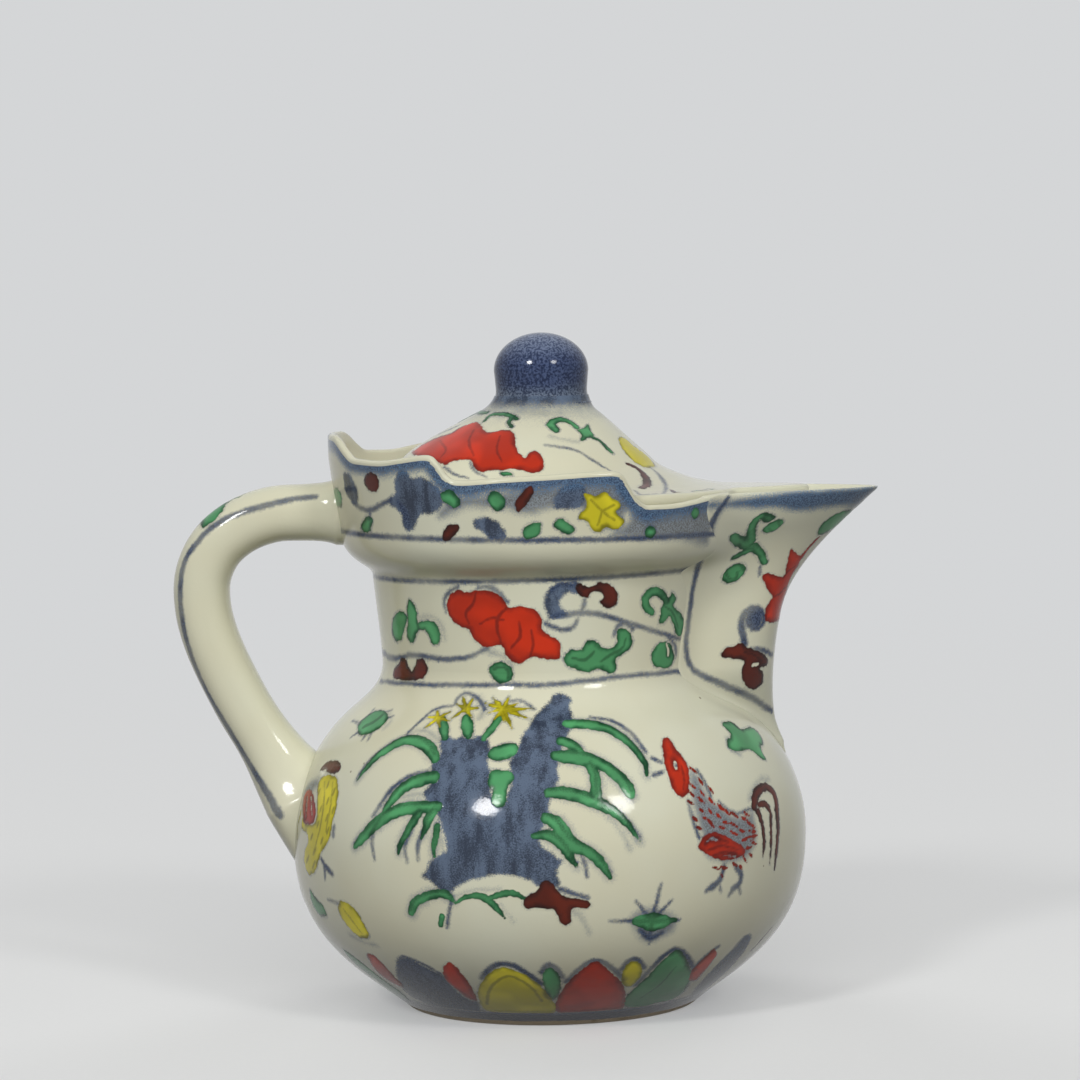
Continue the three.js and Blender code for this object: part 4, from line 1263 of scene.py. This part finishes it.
# Spout: an open trough with a pointed lip
spoutSet = {
    "root": (45.3, 50.0),
    "bend": (45.3, 74.0),
    "tip": (65.4, 99.3),
    "lead": (-1.6, -3.0),  # from the root, where the front starts inside the pot's wall
    "lowCurve": ((-2.3, 7.2), (-1.5, 16.1)),  # middle points of the front under the bend, from the root
    "highCurve": ((1.0, 7.0), (-13.4, -11.3)),  # and over it, from the bend and from the tip
    "widens": (-6.0, 16.0),  # heights over the root between which it gets its width
    "leastWidth": 0.2,
    "wall": 1.8,
    "rootWidth": 17.0,
    "rimWidth": 20.8,
    "backAtNeck": 27.6,
    "backAtRim": 36.0,
    "overlap": 1.12,  # how far the sides run on past the back, as a share of the width
    "fillet": 3.4,
    "sinkSpan": (0.6, 1.1),
    "flareStart": 79.0,
    "fullness": 3.2,  # power of the round U at the neck
    "wedge": (72.0, 92.0),  # heights between which it turns into a wedge
    "floor": 62.0,
    "columns": 210,
    "grain": 0.4,
    "rimBlue": (97.4, 0.55),  # height, and how fast it thins
    "rimDepth": (0.25, 0.8, 34.0, 52.0),  # its depth, how much it gains, and where along X
}
spoutPaint = [
    ("line", "line", [5, 5.5, 5.5, 5, 5], [
        (694, 671), (712, 680), (733, 689), (751, 697), (764, 706), (772, 711)]),
    ("line", "line", [5, 8, 9, 7, 6, 5.5, 5.5, 5.5, 5], [
        (728, 498), (717, 513), (710, 528), (705, 545), (700, 560), (696, 575), (692, 595), (688, 625),
        (686, 643), (688, 660), (694, 671)]),
    ("mist", "line", 12, [(728, 500), (716, 520), (708, 540)]),
    ("green", "line", [10, 10, 9, 9, 10], [(770, 519), (762, 516), (755, 521), (751, 531), (751, 542)]),
    ("green", "dot", 19, [(773, 526)]),
    ("shade", "line", 1.6, [(778, 521), (780, 527), (774, 532), (768, 528)]),
    ("green", "fill", 0, [
        (730, 535), (737, 533), (745, 537), (752, 540), (753, 548), (745, 550), (735, 546), (730, 540)]),
    ("green", "line", [10, 9, 6], [(753, 546), (760, 553), (765, 563)]),
    ("green", "line", [8, 9, 8], [(753, 549), (745, 552), (735, 557)]),
    ("green", "dot", 25, [(734, 573)]),
    ("shade", "line", 2, [
        (743, 570), (739, 563), (731, 563), (726, 570), (729, 578), (736, 578), (737, 572)]),
    ("line", "line", 2.5, [(760, 567), (760, 575)]),
    ("red", "fill", 0, [
        (762, 575), (768, 573), (776, 575), (783, 577), (786, 569), (788, 559), (791, 549), (796, 553),
        (801, 556), (798, 566), (794, 572), (789, 582), (786, 595), (782, 610), (778, 621), (766, 621),
        (765, 611), (770, 601), (772, 596), (767, 588), (763, 580)]),
    ("shade", "line", [1, 2, 1], [(772, 597), (779, 594), (786, 586)]),
    ("shade", "line", [1, 2, 1], [(783, 578), (787, 572), (795, 566)]),
    ("red", "line", [6, 6, 5, 3], [(798, 562), (806, 551), (814, 542), (819, 537)]),
    ("green", "fill", 0, [
        (818, 535), (820, 527), (828, 519), (838, 513), (848, 510), (853, 511), (845, 519), (835, 527),
        (826, 533)]),
    ("green", "line", 3, [(859, 510), (868, 506)]),
    ("line", "dot", 22, [(754, 619)]),
    ("line", "line", [7, 8, 8, 7, 6, 5, 5], [
        (745, 644), (742, 630), (743, 617), (751, 609), (760, 610), (764, 619), (760, 627), (752, 629)]),
    ("line", "line", [4, 5, 4], [(750, 650), (762, 650), (773, 655)]),
    ("brown", "fill", 0, [
        (721, 653), (724, 649), (733, 646), (741, 643), (747, 647), (758, 651), (765, 655), (768, 661),
        (765, 667), (760, 668), (763, 673), (762, 684), (755, 689), (747, 687), (742, 678), (742, 669),
        (744, 661), (737, 659), (728, 658), (721, 657)]),
    ("brown", "scratch", 3.4, [(753, 665), (758, 664)]),
    ("shade", "line", 1.6, [(744, 652), (754, 655), (762, 661)]),
]


# Horizontal section of the spout, for t from -1 to 1: x falls from the front to the back with a power of
# t, the square at the rim and more below. y is the half width times t, and at the rim also times the root
# of (t^2 + 1) / 2. So the spout is a round U at the neck and a wedge at the rim
def spoutSection(front, height, inset, t):
    s = spoutSet
    flare = ease(height, s["flareStart"], s["tip"][1])
    back = s["backAtNeck"] + (s["backAtRim"] - s["backAtNeck"]) * flare
    root = ease(height - s["root"][1], *s["widens"])
    width = (s["rootWidth"] + (s["rimWidth"] - s["rootWidth"]) * flare) * root - inset
    width = np.maximum(width, s["leastWidth"])
    wedge = ease(height, *s["wedge"])
    x = back + (front - inset - back) * (1 - np.abs(t) ** (s["fullness"] + (2 - s["fullness"]) * wedge))
    y = width * t * np.sqrt(1 + (t ** 2 - 1) / 2 * wedge)
    return np.stack([x, y, height + 0 * t], -1)


# Closed rings at each height: the outside from one end to the other, then the channel's side back again.
# Below the channel's floor the way back runs along the middle of the pot's wall, and at the lip both
# sides meet
def makeSpout():
    s = spoutSet
    root, bend, tip = (np.array(s[key]) for key in ("root", "bend", "tip"))
    low = bezier(root, root + s["lowCurve"][0], root + s["lowCurve"][1], bend)
    high = bezier(bend, bend + s["highCurve"][0], tip + s["highCurve"][1], tip)
    front = evenly(np.concatenate([[root + s["lead"]], low, high[1:]]), s["grain"])
    t = np.linspace(-s["overlap"], s["overlap"], s["columns"])[None, :]
    lip = s["wall"] / 2
    wallRows = front[front[:, 1] < tip[1] - lip]
    reach, height = wallRows[:, :1], wallRows[:, 1:]
    outer = spoutSection(reach, height, 0, t)
    inner = spoutSection(reach, height, s["wall"], t)[:, ::-1]
    solid = height[:, 0] < s["floor"]
    inner[solid] = outer[solid][:, ::-1] * [0.5, 1, 1]
    floorRow = int(solid.sum())
    last = slice(floorRow - 1, floorRow)  # the floor is level: one row twice, at one height
    outer = np.concatenate([outer[:floorRow], outer[last], outer[floorRow:]])
    floor = spoutSection(reach[last], height[last], s["wall"], t)[:, ::-1]
    inner = np.concatenate([inner[:floorRow], floor, inner[floorRow:]])
    turns = np.radians(np.linspace(0, 90, 6))[1:]
    inset, rise = lip - lip * np.cos(turns), lip * np.sin(turns)
    lipReach = np.interp(tip[1] - lip + rise, front[:, 1], front[:, 0])[:, None]
    lipHeight = (tip[1] - lip + rise)[:, None]
    lipOuter = spoutSection(lipReach, lipHeight, inset[:, None], t)
    lipInner = spoutSection(lipReach, lipHeight, s["wall"] - inset[:, None], t)[:, ::-1]
    outer = lutedOn(np.concatenate([outer, lipOuter]), s["fillet"], s["sinkSpan"])
    inner = outsidePot(np.concatenate([inner, lipInner]))
    inner[0] = outer[0, ::-1]
    inner[-1] = outer[-1, ::-1]

    # both ends of each side run on into the pot's wall
    def intoWall(side):
        ends = side[:, [0, -1]].copy()
        middle = np.maximum(potRadius(ends[..., 2]) - potSet["rootDepth"], np.abs(ends[..., 1]))
        ends[..., 0] = np.minimum(ends[..., 0], np.sqrt(middle ** 2 - ends[..., 1] ** 2))
        return np.concatenate([ends[:, :1], side, ends[:, 1:]], axis=1)

    outer, inner = intoWall(outer), intoWall(inner)
    grid = np.concatenate([outer, inner], axis=1)
    step = np.linalg.norm(np.diff(outer, axis=1), axis=-1)
    length = np.concatenate([np.zeros((len(outer), 1)), np.cumsum(step, axis=1)], axis=1)
    middle = outer.shape[1] // 2
    across = np.abs(length - length[:, middle - 1:middle + 1].mean(1, keepdims=True))
    along = runLength(outer[:, middle])[:, None]
    surface = surfaceOf(outer, across, along, 1.0, wrapColumns=False)
    paint(surface, spoutPaint)
    x, z = surface["grid"][..., 0].ravel(), surface["grid"][..., 2].ravel()
    level, fall = s["rimBlue"]
    least, gain, pale, deep = s["rimDepth"]
    depth = least + gain * ease(x, pale, deep) - np.abs(z - level) * fall
    keepLarger(surface, "edge", slice(None), depth.astype(np.float32))
    print("spout painted")
    piece = makeSkin("spout_glaze", grid, paintOf(surface, grid))
    finishSkin(piece, "ewer", "painted_glaze", potGlaze, "spout")


# Handle: a rounded strap
handleSet = {
    "line": [
        (33.4, 96.0), (46.5, 96.1), (52.5, 95.8), (58.6, 93.7), (63.5, 89.8), (66.2, 84.4), (66.5, 78.7),
        (64.9, 71.6), (59.4, 59.4), (54.0, 50.2), (49.3, 41.6), (43.4, 31.4)],
    "width": 12.6,
    "topThickness": 10.9,
    "endThickness": 12.8,
    "squareness": 0.85,
    # shares of its length between which it turns to the end's thickness, and to the low end's fillet
    "thickens": (0.72, 0.92),
    "lowSpan": (0.5, 0.9),
    "fillet": (1.0, 4.0),  # at the top and at the low end
    "filletReach": (2.2, 5.0),
    "outerFillet": 0.1,  # share of the fillet on the outer side of the low end
    "sides": 112,
    "grain": 0.42,
}
handlePaint = [
    ("line", "line", [6, 7, 7, 8, 9, 10, 10], [
        (315, 497), (300, 498), (280, 502), (260, 507), (240, 513), (220, 522), (205, 533), (195, 545),
        (187, 556), (182, 570), (180, 590), (181, 610), (185, 635), (191, 655), (201, 680), (214, 705),
        (229, 730), (244, 755), (259, 780), (270, 798), (275, 808)]),
    ("line", "dot", 12, [(278, 813)]),
    ("green", "fill", 0, [
        (200, 525), (206, 515), (215, 508), (226, 503), (222, 512), (212, 522), (204, 527)]),
    ("green", "touch", [3, 2], [(226, 503), (245, 494)]),
]


# A rounded section carried along the centre line: the half thickness times cos to a power, square to the
# line, and the half width times sin to the same power, along Y. It swells into a fillet near the pot,
# apart from the outer side of its low end
def makeHandle():
    h = handleSet
    line = evenly(throughPoints(h["line"], steps=40), h["grain"])
    centre = np.stack([-line[:, 0], 0 * line[:, 0], line[:, 1]], -1)
    tangent = np.gradient(centre, axis=0)
    tangent /= np.linalg.norm(tangent, axis=1, keepdims=True)
    across = np.stack([tangent[:, 2], 0 * tangent[:, 0], -tangent[:, 0]], -1)
    share = runLength(centre)[:, None] / runLength(centre)[-1]
    half = (h["topThickness"] + (h["endThickness"] - h["topThickness"]) * ease(share, *h["thickens"])) / 2
    clear = np.maximum(line[:, :1] - potRadius(line[:, 1:]), 0)
    low = ease(share, *h["lowSpan"])
    fillet, filletReach = (h[key][0] + (h[key][1] - h[key][0]) * low for key in ("fillet", "filletReach"))
    swell = fillet * np.exp(-clear / filletReach)
    angle = np.linspace(-np.pi, np.pi, h["sides"], endpoint=False)[None, :, None]
    cosine = np.sign(np.cos(angle)) * np.abs(np.cos(angle)) ** h["squareness"]
    sine = np.sign(np.sin(angle)) * np.abs(np.sin(angle)) ** h["squareness"]
    held = 1 - (1 - h["outerFillet"]) * low[:, None] * np.maximum(cosine, 0)
    thick = half[:, None] + swell[:, None] * held
    grid = centre[:, None] + thick * cosine * across[:, None]
    grid = grid + (h["width"] / 2 + swell[:, None]) * sine * np.array([0, 1, 0])
    grid = outsidePot(grid)
    middle = len(grid) // 2
    if slopes(grid, True)[middle, 0] @ (grid[middle, 0] - centre[middle]) < 0:
        grid = grid[:, ::-1]  # faces outwards
    step = np.linalg.norm(np.roll(grid, -1, 1) - grid, axis=-1).mean(1, keepdims=True)
    ring = np.abs(np.arange(h["sides"]) - h["sides"] / 2)[None, :] * step
    surface = surfaceOf(grid, ring, runLength(centre)[:, None], 1.0)
    paint(surface, handlePaint)
    print("handle painted")
    piece = makeSkin("handle_glaze", grid, paintOf(surface, grid), capEnds="rows")
    finishSkin(piece, "ewer", "painted_glaze", potGlaze, "handle")


# Lid: dome, brim and tongue in one skin
lidSet = {
    "brimRadius": 38.11,
    "brimTop": 99.9,
    "brimThickness": 2.4,
    "brimHole": 28.4,
    "brimRows": 8,
    "tongueReach": 51.5,
    "tongueWidth": 15.0,
    "tongueBack": 30.4,
    "tongueCorner": 1.0,
    "brimTrim": 0.01,
    "dome": [
        (36.6, 99.95), (33.5, 100.5), (29.6, 101.6), (26.3, 103.8), (22.7, 107.2), (18.0, 110.7),
        (13.0, 114.0), (10.6, 115.6), (9.6, 116.9), (9.1, 118.0)],
    "topRing": 5.0,
    "hollow": [(0, 115.0), (6, 114.2), (10.5, 112.8), (16.4, 109.2), (21.4, 105.5), (25.6, 102.5)],
    "lean": -3.4,
    "leansIn": (0.0, 5.0),  # heights over the brim between which the dome's lean comes, and goes again
    "leansOut": (7.0, 18.5),
    "columns": 620,
    "grain": 0.4,
    "edge": 0.9,
    "knobShade": {"mist": 113.6, "wash": 116.6},  # heights where the grey round the knob is half there
    "knobShadeRise": 0.5,
}
lidPaint = [
    ("red", "fill", 0, [
        (412, 453), (420, 446), (429, 441), (441, 436), (451, 433), (459, 428), (469, 424), (477, 422),
        (482, 427), (486, 432), (494, 432), (503, 430), (511, 431), (515, 437), (516, 445), (519, 453),
        (525, 458), (529, 453), (535, 451), (541, 456), (544, 463), (542, 470), (535, 473), (524, 471),
        (514, 469), (503, 470), (492, 470), (482, 472), (475, 468), (471, 461), (462, 460), (452, 462),
        (444, 465), (434, 460), (422, 457)]),
    ("shade", "line", [1, 2.4, 1], [(474, 430), (469, 442), (474, 456)]),
    ("shade", "line", [1, 2, 1], [(500, 436), (497, 450), (502, 462)]),
    ("shade", "line", [1, 2, 1], [(440, 441), (446, 450), (441, 458)]),
    ("line", "line", [2, 4, 2], [(437, 435), (448, 430), (458, 426)]),
    ("green", "line", [3, 6, 7, 6], [(459, 421), (467, 416), (477, 412), (487, 413)]),
    ("green", "line", [4, 6, 7, 6, 5], [(484, 421), (491, 415), (502, 414), (511, 416), (517, 419)]),
    ("green", "line", [6, 5, 3], [(512, 417), (509, 423), (512, 427)]),
    ("green", "line", [9, 11, 9, 7, 7], [(556, 430), (551, 424), (557, 420), (567, 421), (577, 427)]),
    ("green", "fill", 0, [
        (577, 430), (584, 428), (588, 424), (591, 431), (594, 436), (588, 438), (581, 441), (581, 434)]),
    ("green", "line", [5, 5, 7, 7], [(592, 437), (600, 441), (607, 448), (611, 452)]),
    ("line", "line", [2, 2.6, 2.6, 2.6, 2], [
        (545, 445), (560, 447), (575, 450), (588, 457), (600, 465), (611, 471)]),
    ("mist", "line", 6, [(550, 436), (562, 439), (578, 442)]),
    ("yellow", "fill", 0, [
        (619, 437), (626, 439), (634, 446), (642, 452), (651, 460), (655, 466), (646, 468), (638, 464),
        (629, 457), (622, 448)]),
    ("brown", "line", [4, 6, 6, 7, 7, 8], [
        (627, 464), (635, 467), (641, 471), (646, 478), (647, 485), (642, 488)]),
    ("brown", "line", [4, 6, 3], [(671, 490), (677, 494), (683, 498)]),
    ("line", "line", [2, 3, 3, 2], [(650, 467), (661, 477), (666, 488), (662, 496)]),
    ("line", "line", [2, 3, 2], [(634, 490), (644, 497), (658, 496)]),
    ("line", "line", [2, 3, 2], [(470, 462), (475, 471), (486, 477)]),
    ("line", "line", [2, 3, 2], [(444, 467), (454, 474), (468, 478)]),
    ("green", "line", 6, [(503, 474), (510, 474)]),
    ("green", "line", [3, 5, 3], [(693, 493), (700, 492), (707, 490)]),
    ("green", "line", 4, [(709, 489), (716, 490)]),
]


# How far the dome leans: a step up from the brim times a step down towards the knob
def lidLean(height):
    s = lidSet
    over = height - s["brimTop"]
    return s["lean"] * ease(over, *s["leansIn"]) * (1 - ease(over, *s["leansOut"]))


# The brim's radius at each angle: the larger of the round brim and the tongue, with a soft corner between
# them
def brimReach(angles):
    s = lidSet
    t = np.linspace(0, 1, 60)
    x = s["tongueBack"] + (s["tongueReach"] - s["tongueBack"]) * (1 - t ** 2)
    y = s["tongueWidth"] * t * np.sqrt((t ** 2 + 1) / 2)
    away = np.abs(angles - 90)
    tongue = np.interp(away, np.degrees(np.arctan2(y, x)), np.hypot(x, y), right=0)
    gap = tongue - s["brimRadius"]
    return s["brimRadius"] + (gap + np.sqrt(gap ** 2 + s["tongueCorner"])) / 2 - s["brimTrim"]


# Lid: turned profiles for the hollow, the dome and the edge, whose radius follows brimReach, straight rows
# between them, and all of it moved along X by lidLean
def makeLid():
    s = lidSet
    angles = np.linspace(-180, 180, s["columns"], endpoint=False)
    reach = brimReach(angles)[None, :, None]
    soft = s["edge"]
    low, top = s["brimTop"] - s["brimThickness"], s["brimTop"]
    dome = evenly(throughPoints(s["dome"], steps=12), s["grain"])
    inner = turned(throughPoints([*s["hollow"], (s["brimHole"], low)], steps=4), angles)
    cover = turned(np.concatenate([dome, [(s["topRing"], dome[-1, 1]), (0, dome[-1, 1])]]), angles)
    turns = np.concatenate([
        arc(-soft, low + soft, soft, -90, 0, 5), arc(-soft, top - soft, soft, 0, 90, 5)])
    around = np.radians(angles)[None, :]
    edgeRadius = reach[..., 0] + turns[:, :1]
    edge = np.stack([
        edgeRadius * np.sin(around), -edgeRadius * np.cos(around), turns[:, 1:] + 0 * around], -1)
    outerRow, domeRow = edge[-1:], cover[:1]
    share = np.linspace(0, 1, s["brimRows"])[1:-1, None, None]
    brim = outerRow + (domeRow - outerRow) * share
    under = inner[-1:] + (edge[:1] - inner[-1:]) * share
    grid = np.concatenate([inner, under, edge, brim, cover])
    grid[..., 0] += lidLean(grid[..., 2])
    length = runLength(dome[::-1])[::-1] + dome[-1, 0]
    first = len(grid) - len(cover)
    rows = slice(first, first + len(dome))
    u = length[:, None] * np.sin(around)
    v = length[:, None] * np.abs(np.cos(around))
    surface = surfaceOf(grid[rows], u, v, 1.0)
    paint(surface, lidPaint)
    for pigment, start in s["knobShade"].items():
        depth = (grid[rows][..., 2].ravel() - start) * s["knobShadeRise"]
        keepLarger(surface, pigment, slice(None), depth.astype(np.float32))
    print("lid painted")
    piece = makeSkin("lid_glaze", grid, paintOf(surface, grid, first=first))
    finishSkin(piece, "lid", "lid_glaze", lidGlaze, "lid_dome", "lid_brim")

    # the locating ring under the brim, with softened edges
    ring = np.concatenate([
        [(29.0, 90.5), (30.2, 90.5)], arc(30.1, 91.0, 0.5, -60, 0, 4),
        [(30.6, 94), (30.6, 97.4), (28.6, 97.4), (28.6, 94), (28.6, 90.9)]])
    piece = makeSkin("lid_flange_glaze", turned(ring, angles[::2]), wrapRows=True)
    finishSkin(piece, "lid", "lid_glaze", lidGlaze, "lid_flange")


# Knob: its side is a smooth curve, and its top a quarter of an ellipse: r = radius cos t, z = dome sin t
def makeKnob():
    k = knobSet
    rise = np.radians(np.linspace(0, 90, 40))
    (radius, height), base = k["side"][-1], k["side"][0][1]
    cap = np.stack([radius * np.cos(rise), height + k["dome"] * np.sin(rise)], -1)
    cap[-1, 0] = 0
    side = throughPoints(k["side"], steps=10)
    profile = np.concatenate([[(0, base), (k["baseRing"], base)], side, cap[1:]])
    angles = np.linspace(-180, 180, k["columns"], endpoint=False)
    piece = makeSkin("lid_knob_glaze", turned(profile, angles))
    finishSkin(piece, "lid", "blue_glaze", knobGlaze, "lid_knob")


makeFoot()
makePot()
makeCollar()
makeSpout()
makeHandle()
makeLid()
makeKnob()
print("pieces ready")

# Stage and light
stageSet = {
    "paper": colour(240, 240, 238),
    "paperBounce": colour(54, 54, 55),  # what it throws back at the pot
    "backdrop": (0.66, 0.67, 0.68, 1.0),
    "fade": (-0.9, 1.2),  # distances between which it turns into the backdrop: partly there at the pot
    "floorReach": 6.0,
    "paperNoise": (900.0, 2.0),
    "paperDark": 0.96,
    "paperRoughness": 0.9,
    "skyLight": 0.04,
    "aim": (0, 0, 0.06),
    "lamps": [  # name, azimuth, elevation, distance, size, watts, whether the glaze shows it
        ("key", -31, 33, 2.4, 0.44, 21.0, True),
        ("second", 35, 32, 2.4, 0.52, 15.0, True),
        ("low", 2, 18, 2.4, 2.0, 17.0, False),
        ("front", 3, 46, 2.4, 2.2, 15.0, False),
        ("rearLeft", -145, 36, 2.4, 1.4, 15.0, False),
        ("rearRight", 150, 36, 2.4, 1.4, 12.0, False),
    ],
}


# 1 for a ray that comes from the camera, or from gloss or glass, which show the background too
def shownRay(tree):
    path = addNode(tree, "LightPath").outputs
    seen = maths(tree, "MAXIMUM", path["Is Camera Ray"], path["Is Glossy Ray"])
    return maths(tree, "MAXIMUM", seen, path["Is Transmission Ray"])


# Pale paper that keeps the pot's shadow and turns into the backdrop further out
def makeFloor():
    s = stageSet
    mesh = bpy.data.meshes.new("floor")
    far = s["floorReach"]
    mesh.from_pydata([(-far, -far, 0), (far, -far, 0), (far, far, 0), (-far, far, 0)], [], [(0, 1, 2, 3)])
    floor = bpy.data.objects.new("floor", mesh)
    bpy.context.scene.collection.objects.link(floor)
    material, tree, shader, place = newMaterial("floorPaper")
    shown = shownRay(tree)
    grain = noise(tree, place, *s["paperNoise"])
    paper = blend(tree, grain, s["paper"], scaled(s["paper"], s["paperDark"]))
    tree.links.new(blend(tree, shown, s["paperBounce"], paper), shader.inputs["Base Color"])
    shader.inputs["Roughness"].default_value = s["paperRoughness"]
    away = addNode(tree, "VectorMath", {0: place}, operation="LENGTH").outputs["Value"]
    fade = maths(tree, "MULTIPLY", remap(tree, away, *s["fade"]), shown)
    backdrop = addNode(tree, "Emission", {"Color": s["backdrop"], "Strength": 1.0}).outputs[0]
    mixer = addNode(tree, "MixShader", {0: fade, 1: shader.outputs[0], 2: backdrop})
    tree.links.new(mixer.outputs[0], tree.nodes["Material Output"].inputs["Surface"])
    mesh.materials.append(material)


# A lamp at an azimuth from the camera's side and an elevation, both in degrees, facing the pot's middle
def makeLamp(name, azimuth, elevation, distance, size, watts, glossy):
    data = bpy.data.lights.new(name, "AREA")
    data.shape = "DISK"
    data.size = size
    data.energy = watts
    lamp = bpy.data.objects.new(name, data)
    around, up = math.radians(azimuth), math.radians(elevation)
    aim = Vector(stageSet["aim"])
    away = Vector((math.sin(around) * math.cos(up), -math.cos(around) * math.cos(up), math.sin(up)))
    turn = away.to_track_quat("Z", "Y").to_matrix().to_4x4()
    lamp.matrix_world = Matrix.Translation(aim + away * distance) @ turn
    lamp.visible_camera = False
    lamp.visible_glossy = glossy
    bpy.context.scene.collection.objects.link(lamp)


def makeWorld():
    world = bpy.data.worlds.new("studio")
    bpy.context.scene.world = world
    world.use_nodes = True
    tree = world.node_tree
    output = tree.nodes["World Output"]
    light = tree.nodes["Background"]
    light.inputs["Color"].default_value = (1.0, 1.0, 1.0, 1.0)
    light.inputs["Strength"].default_value = stageSet["skyLight"]
    backdrop = addNode(tree, "Background", {"Color": stageSet["backdrop"], "Strength": 1.0})
    mixer = addNode(tree, "MixShader", {0: shownRay(tree), 1: light.outputs[0], 2: backdrop.outputs[0]})
    tree.links.new(mixer.outputs[0], output.inputs["Surface"])


makeFloor()
for lampRow in stageSet["lamps"]:
    makeLamp(*lampRow)
makeWorld()
bpy.context.scene.view_settings.view_transform = "Standard"
print("stage ready")
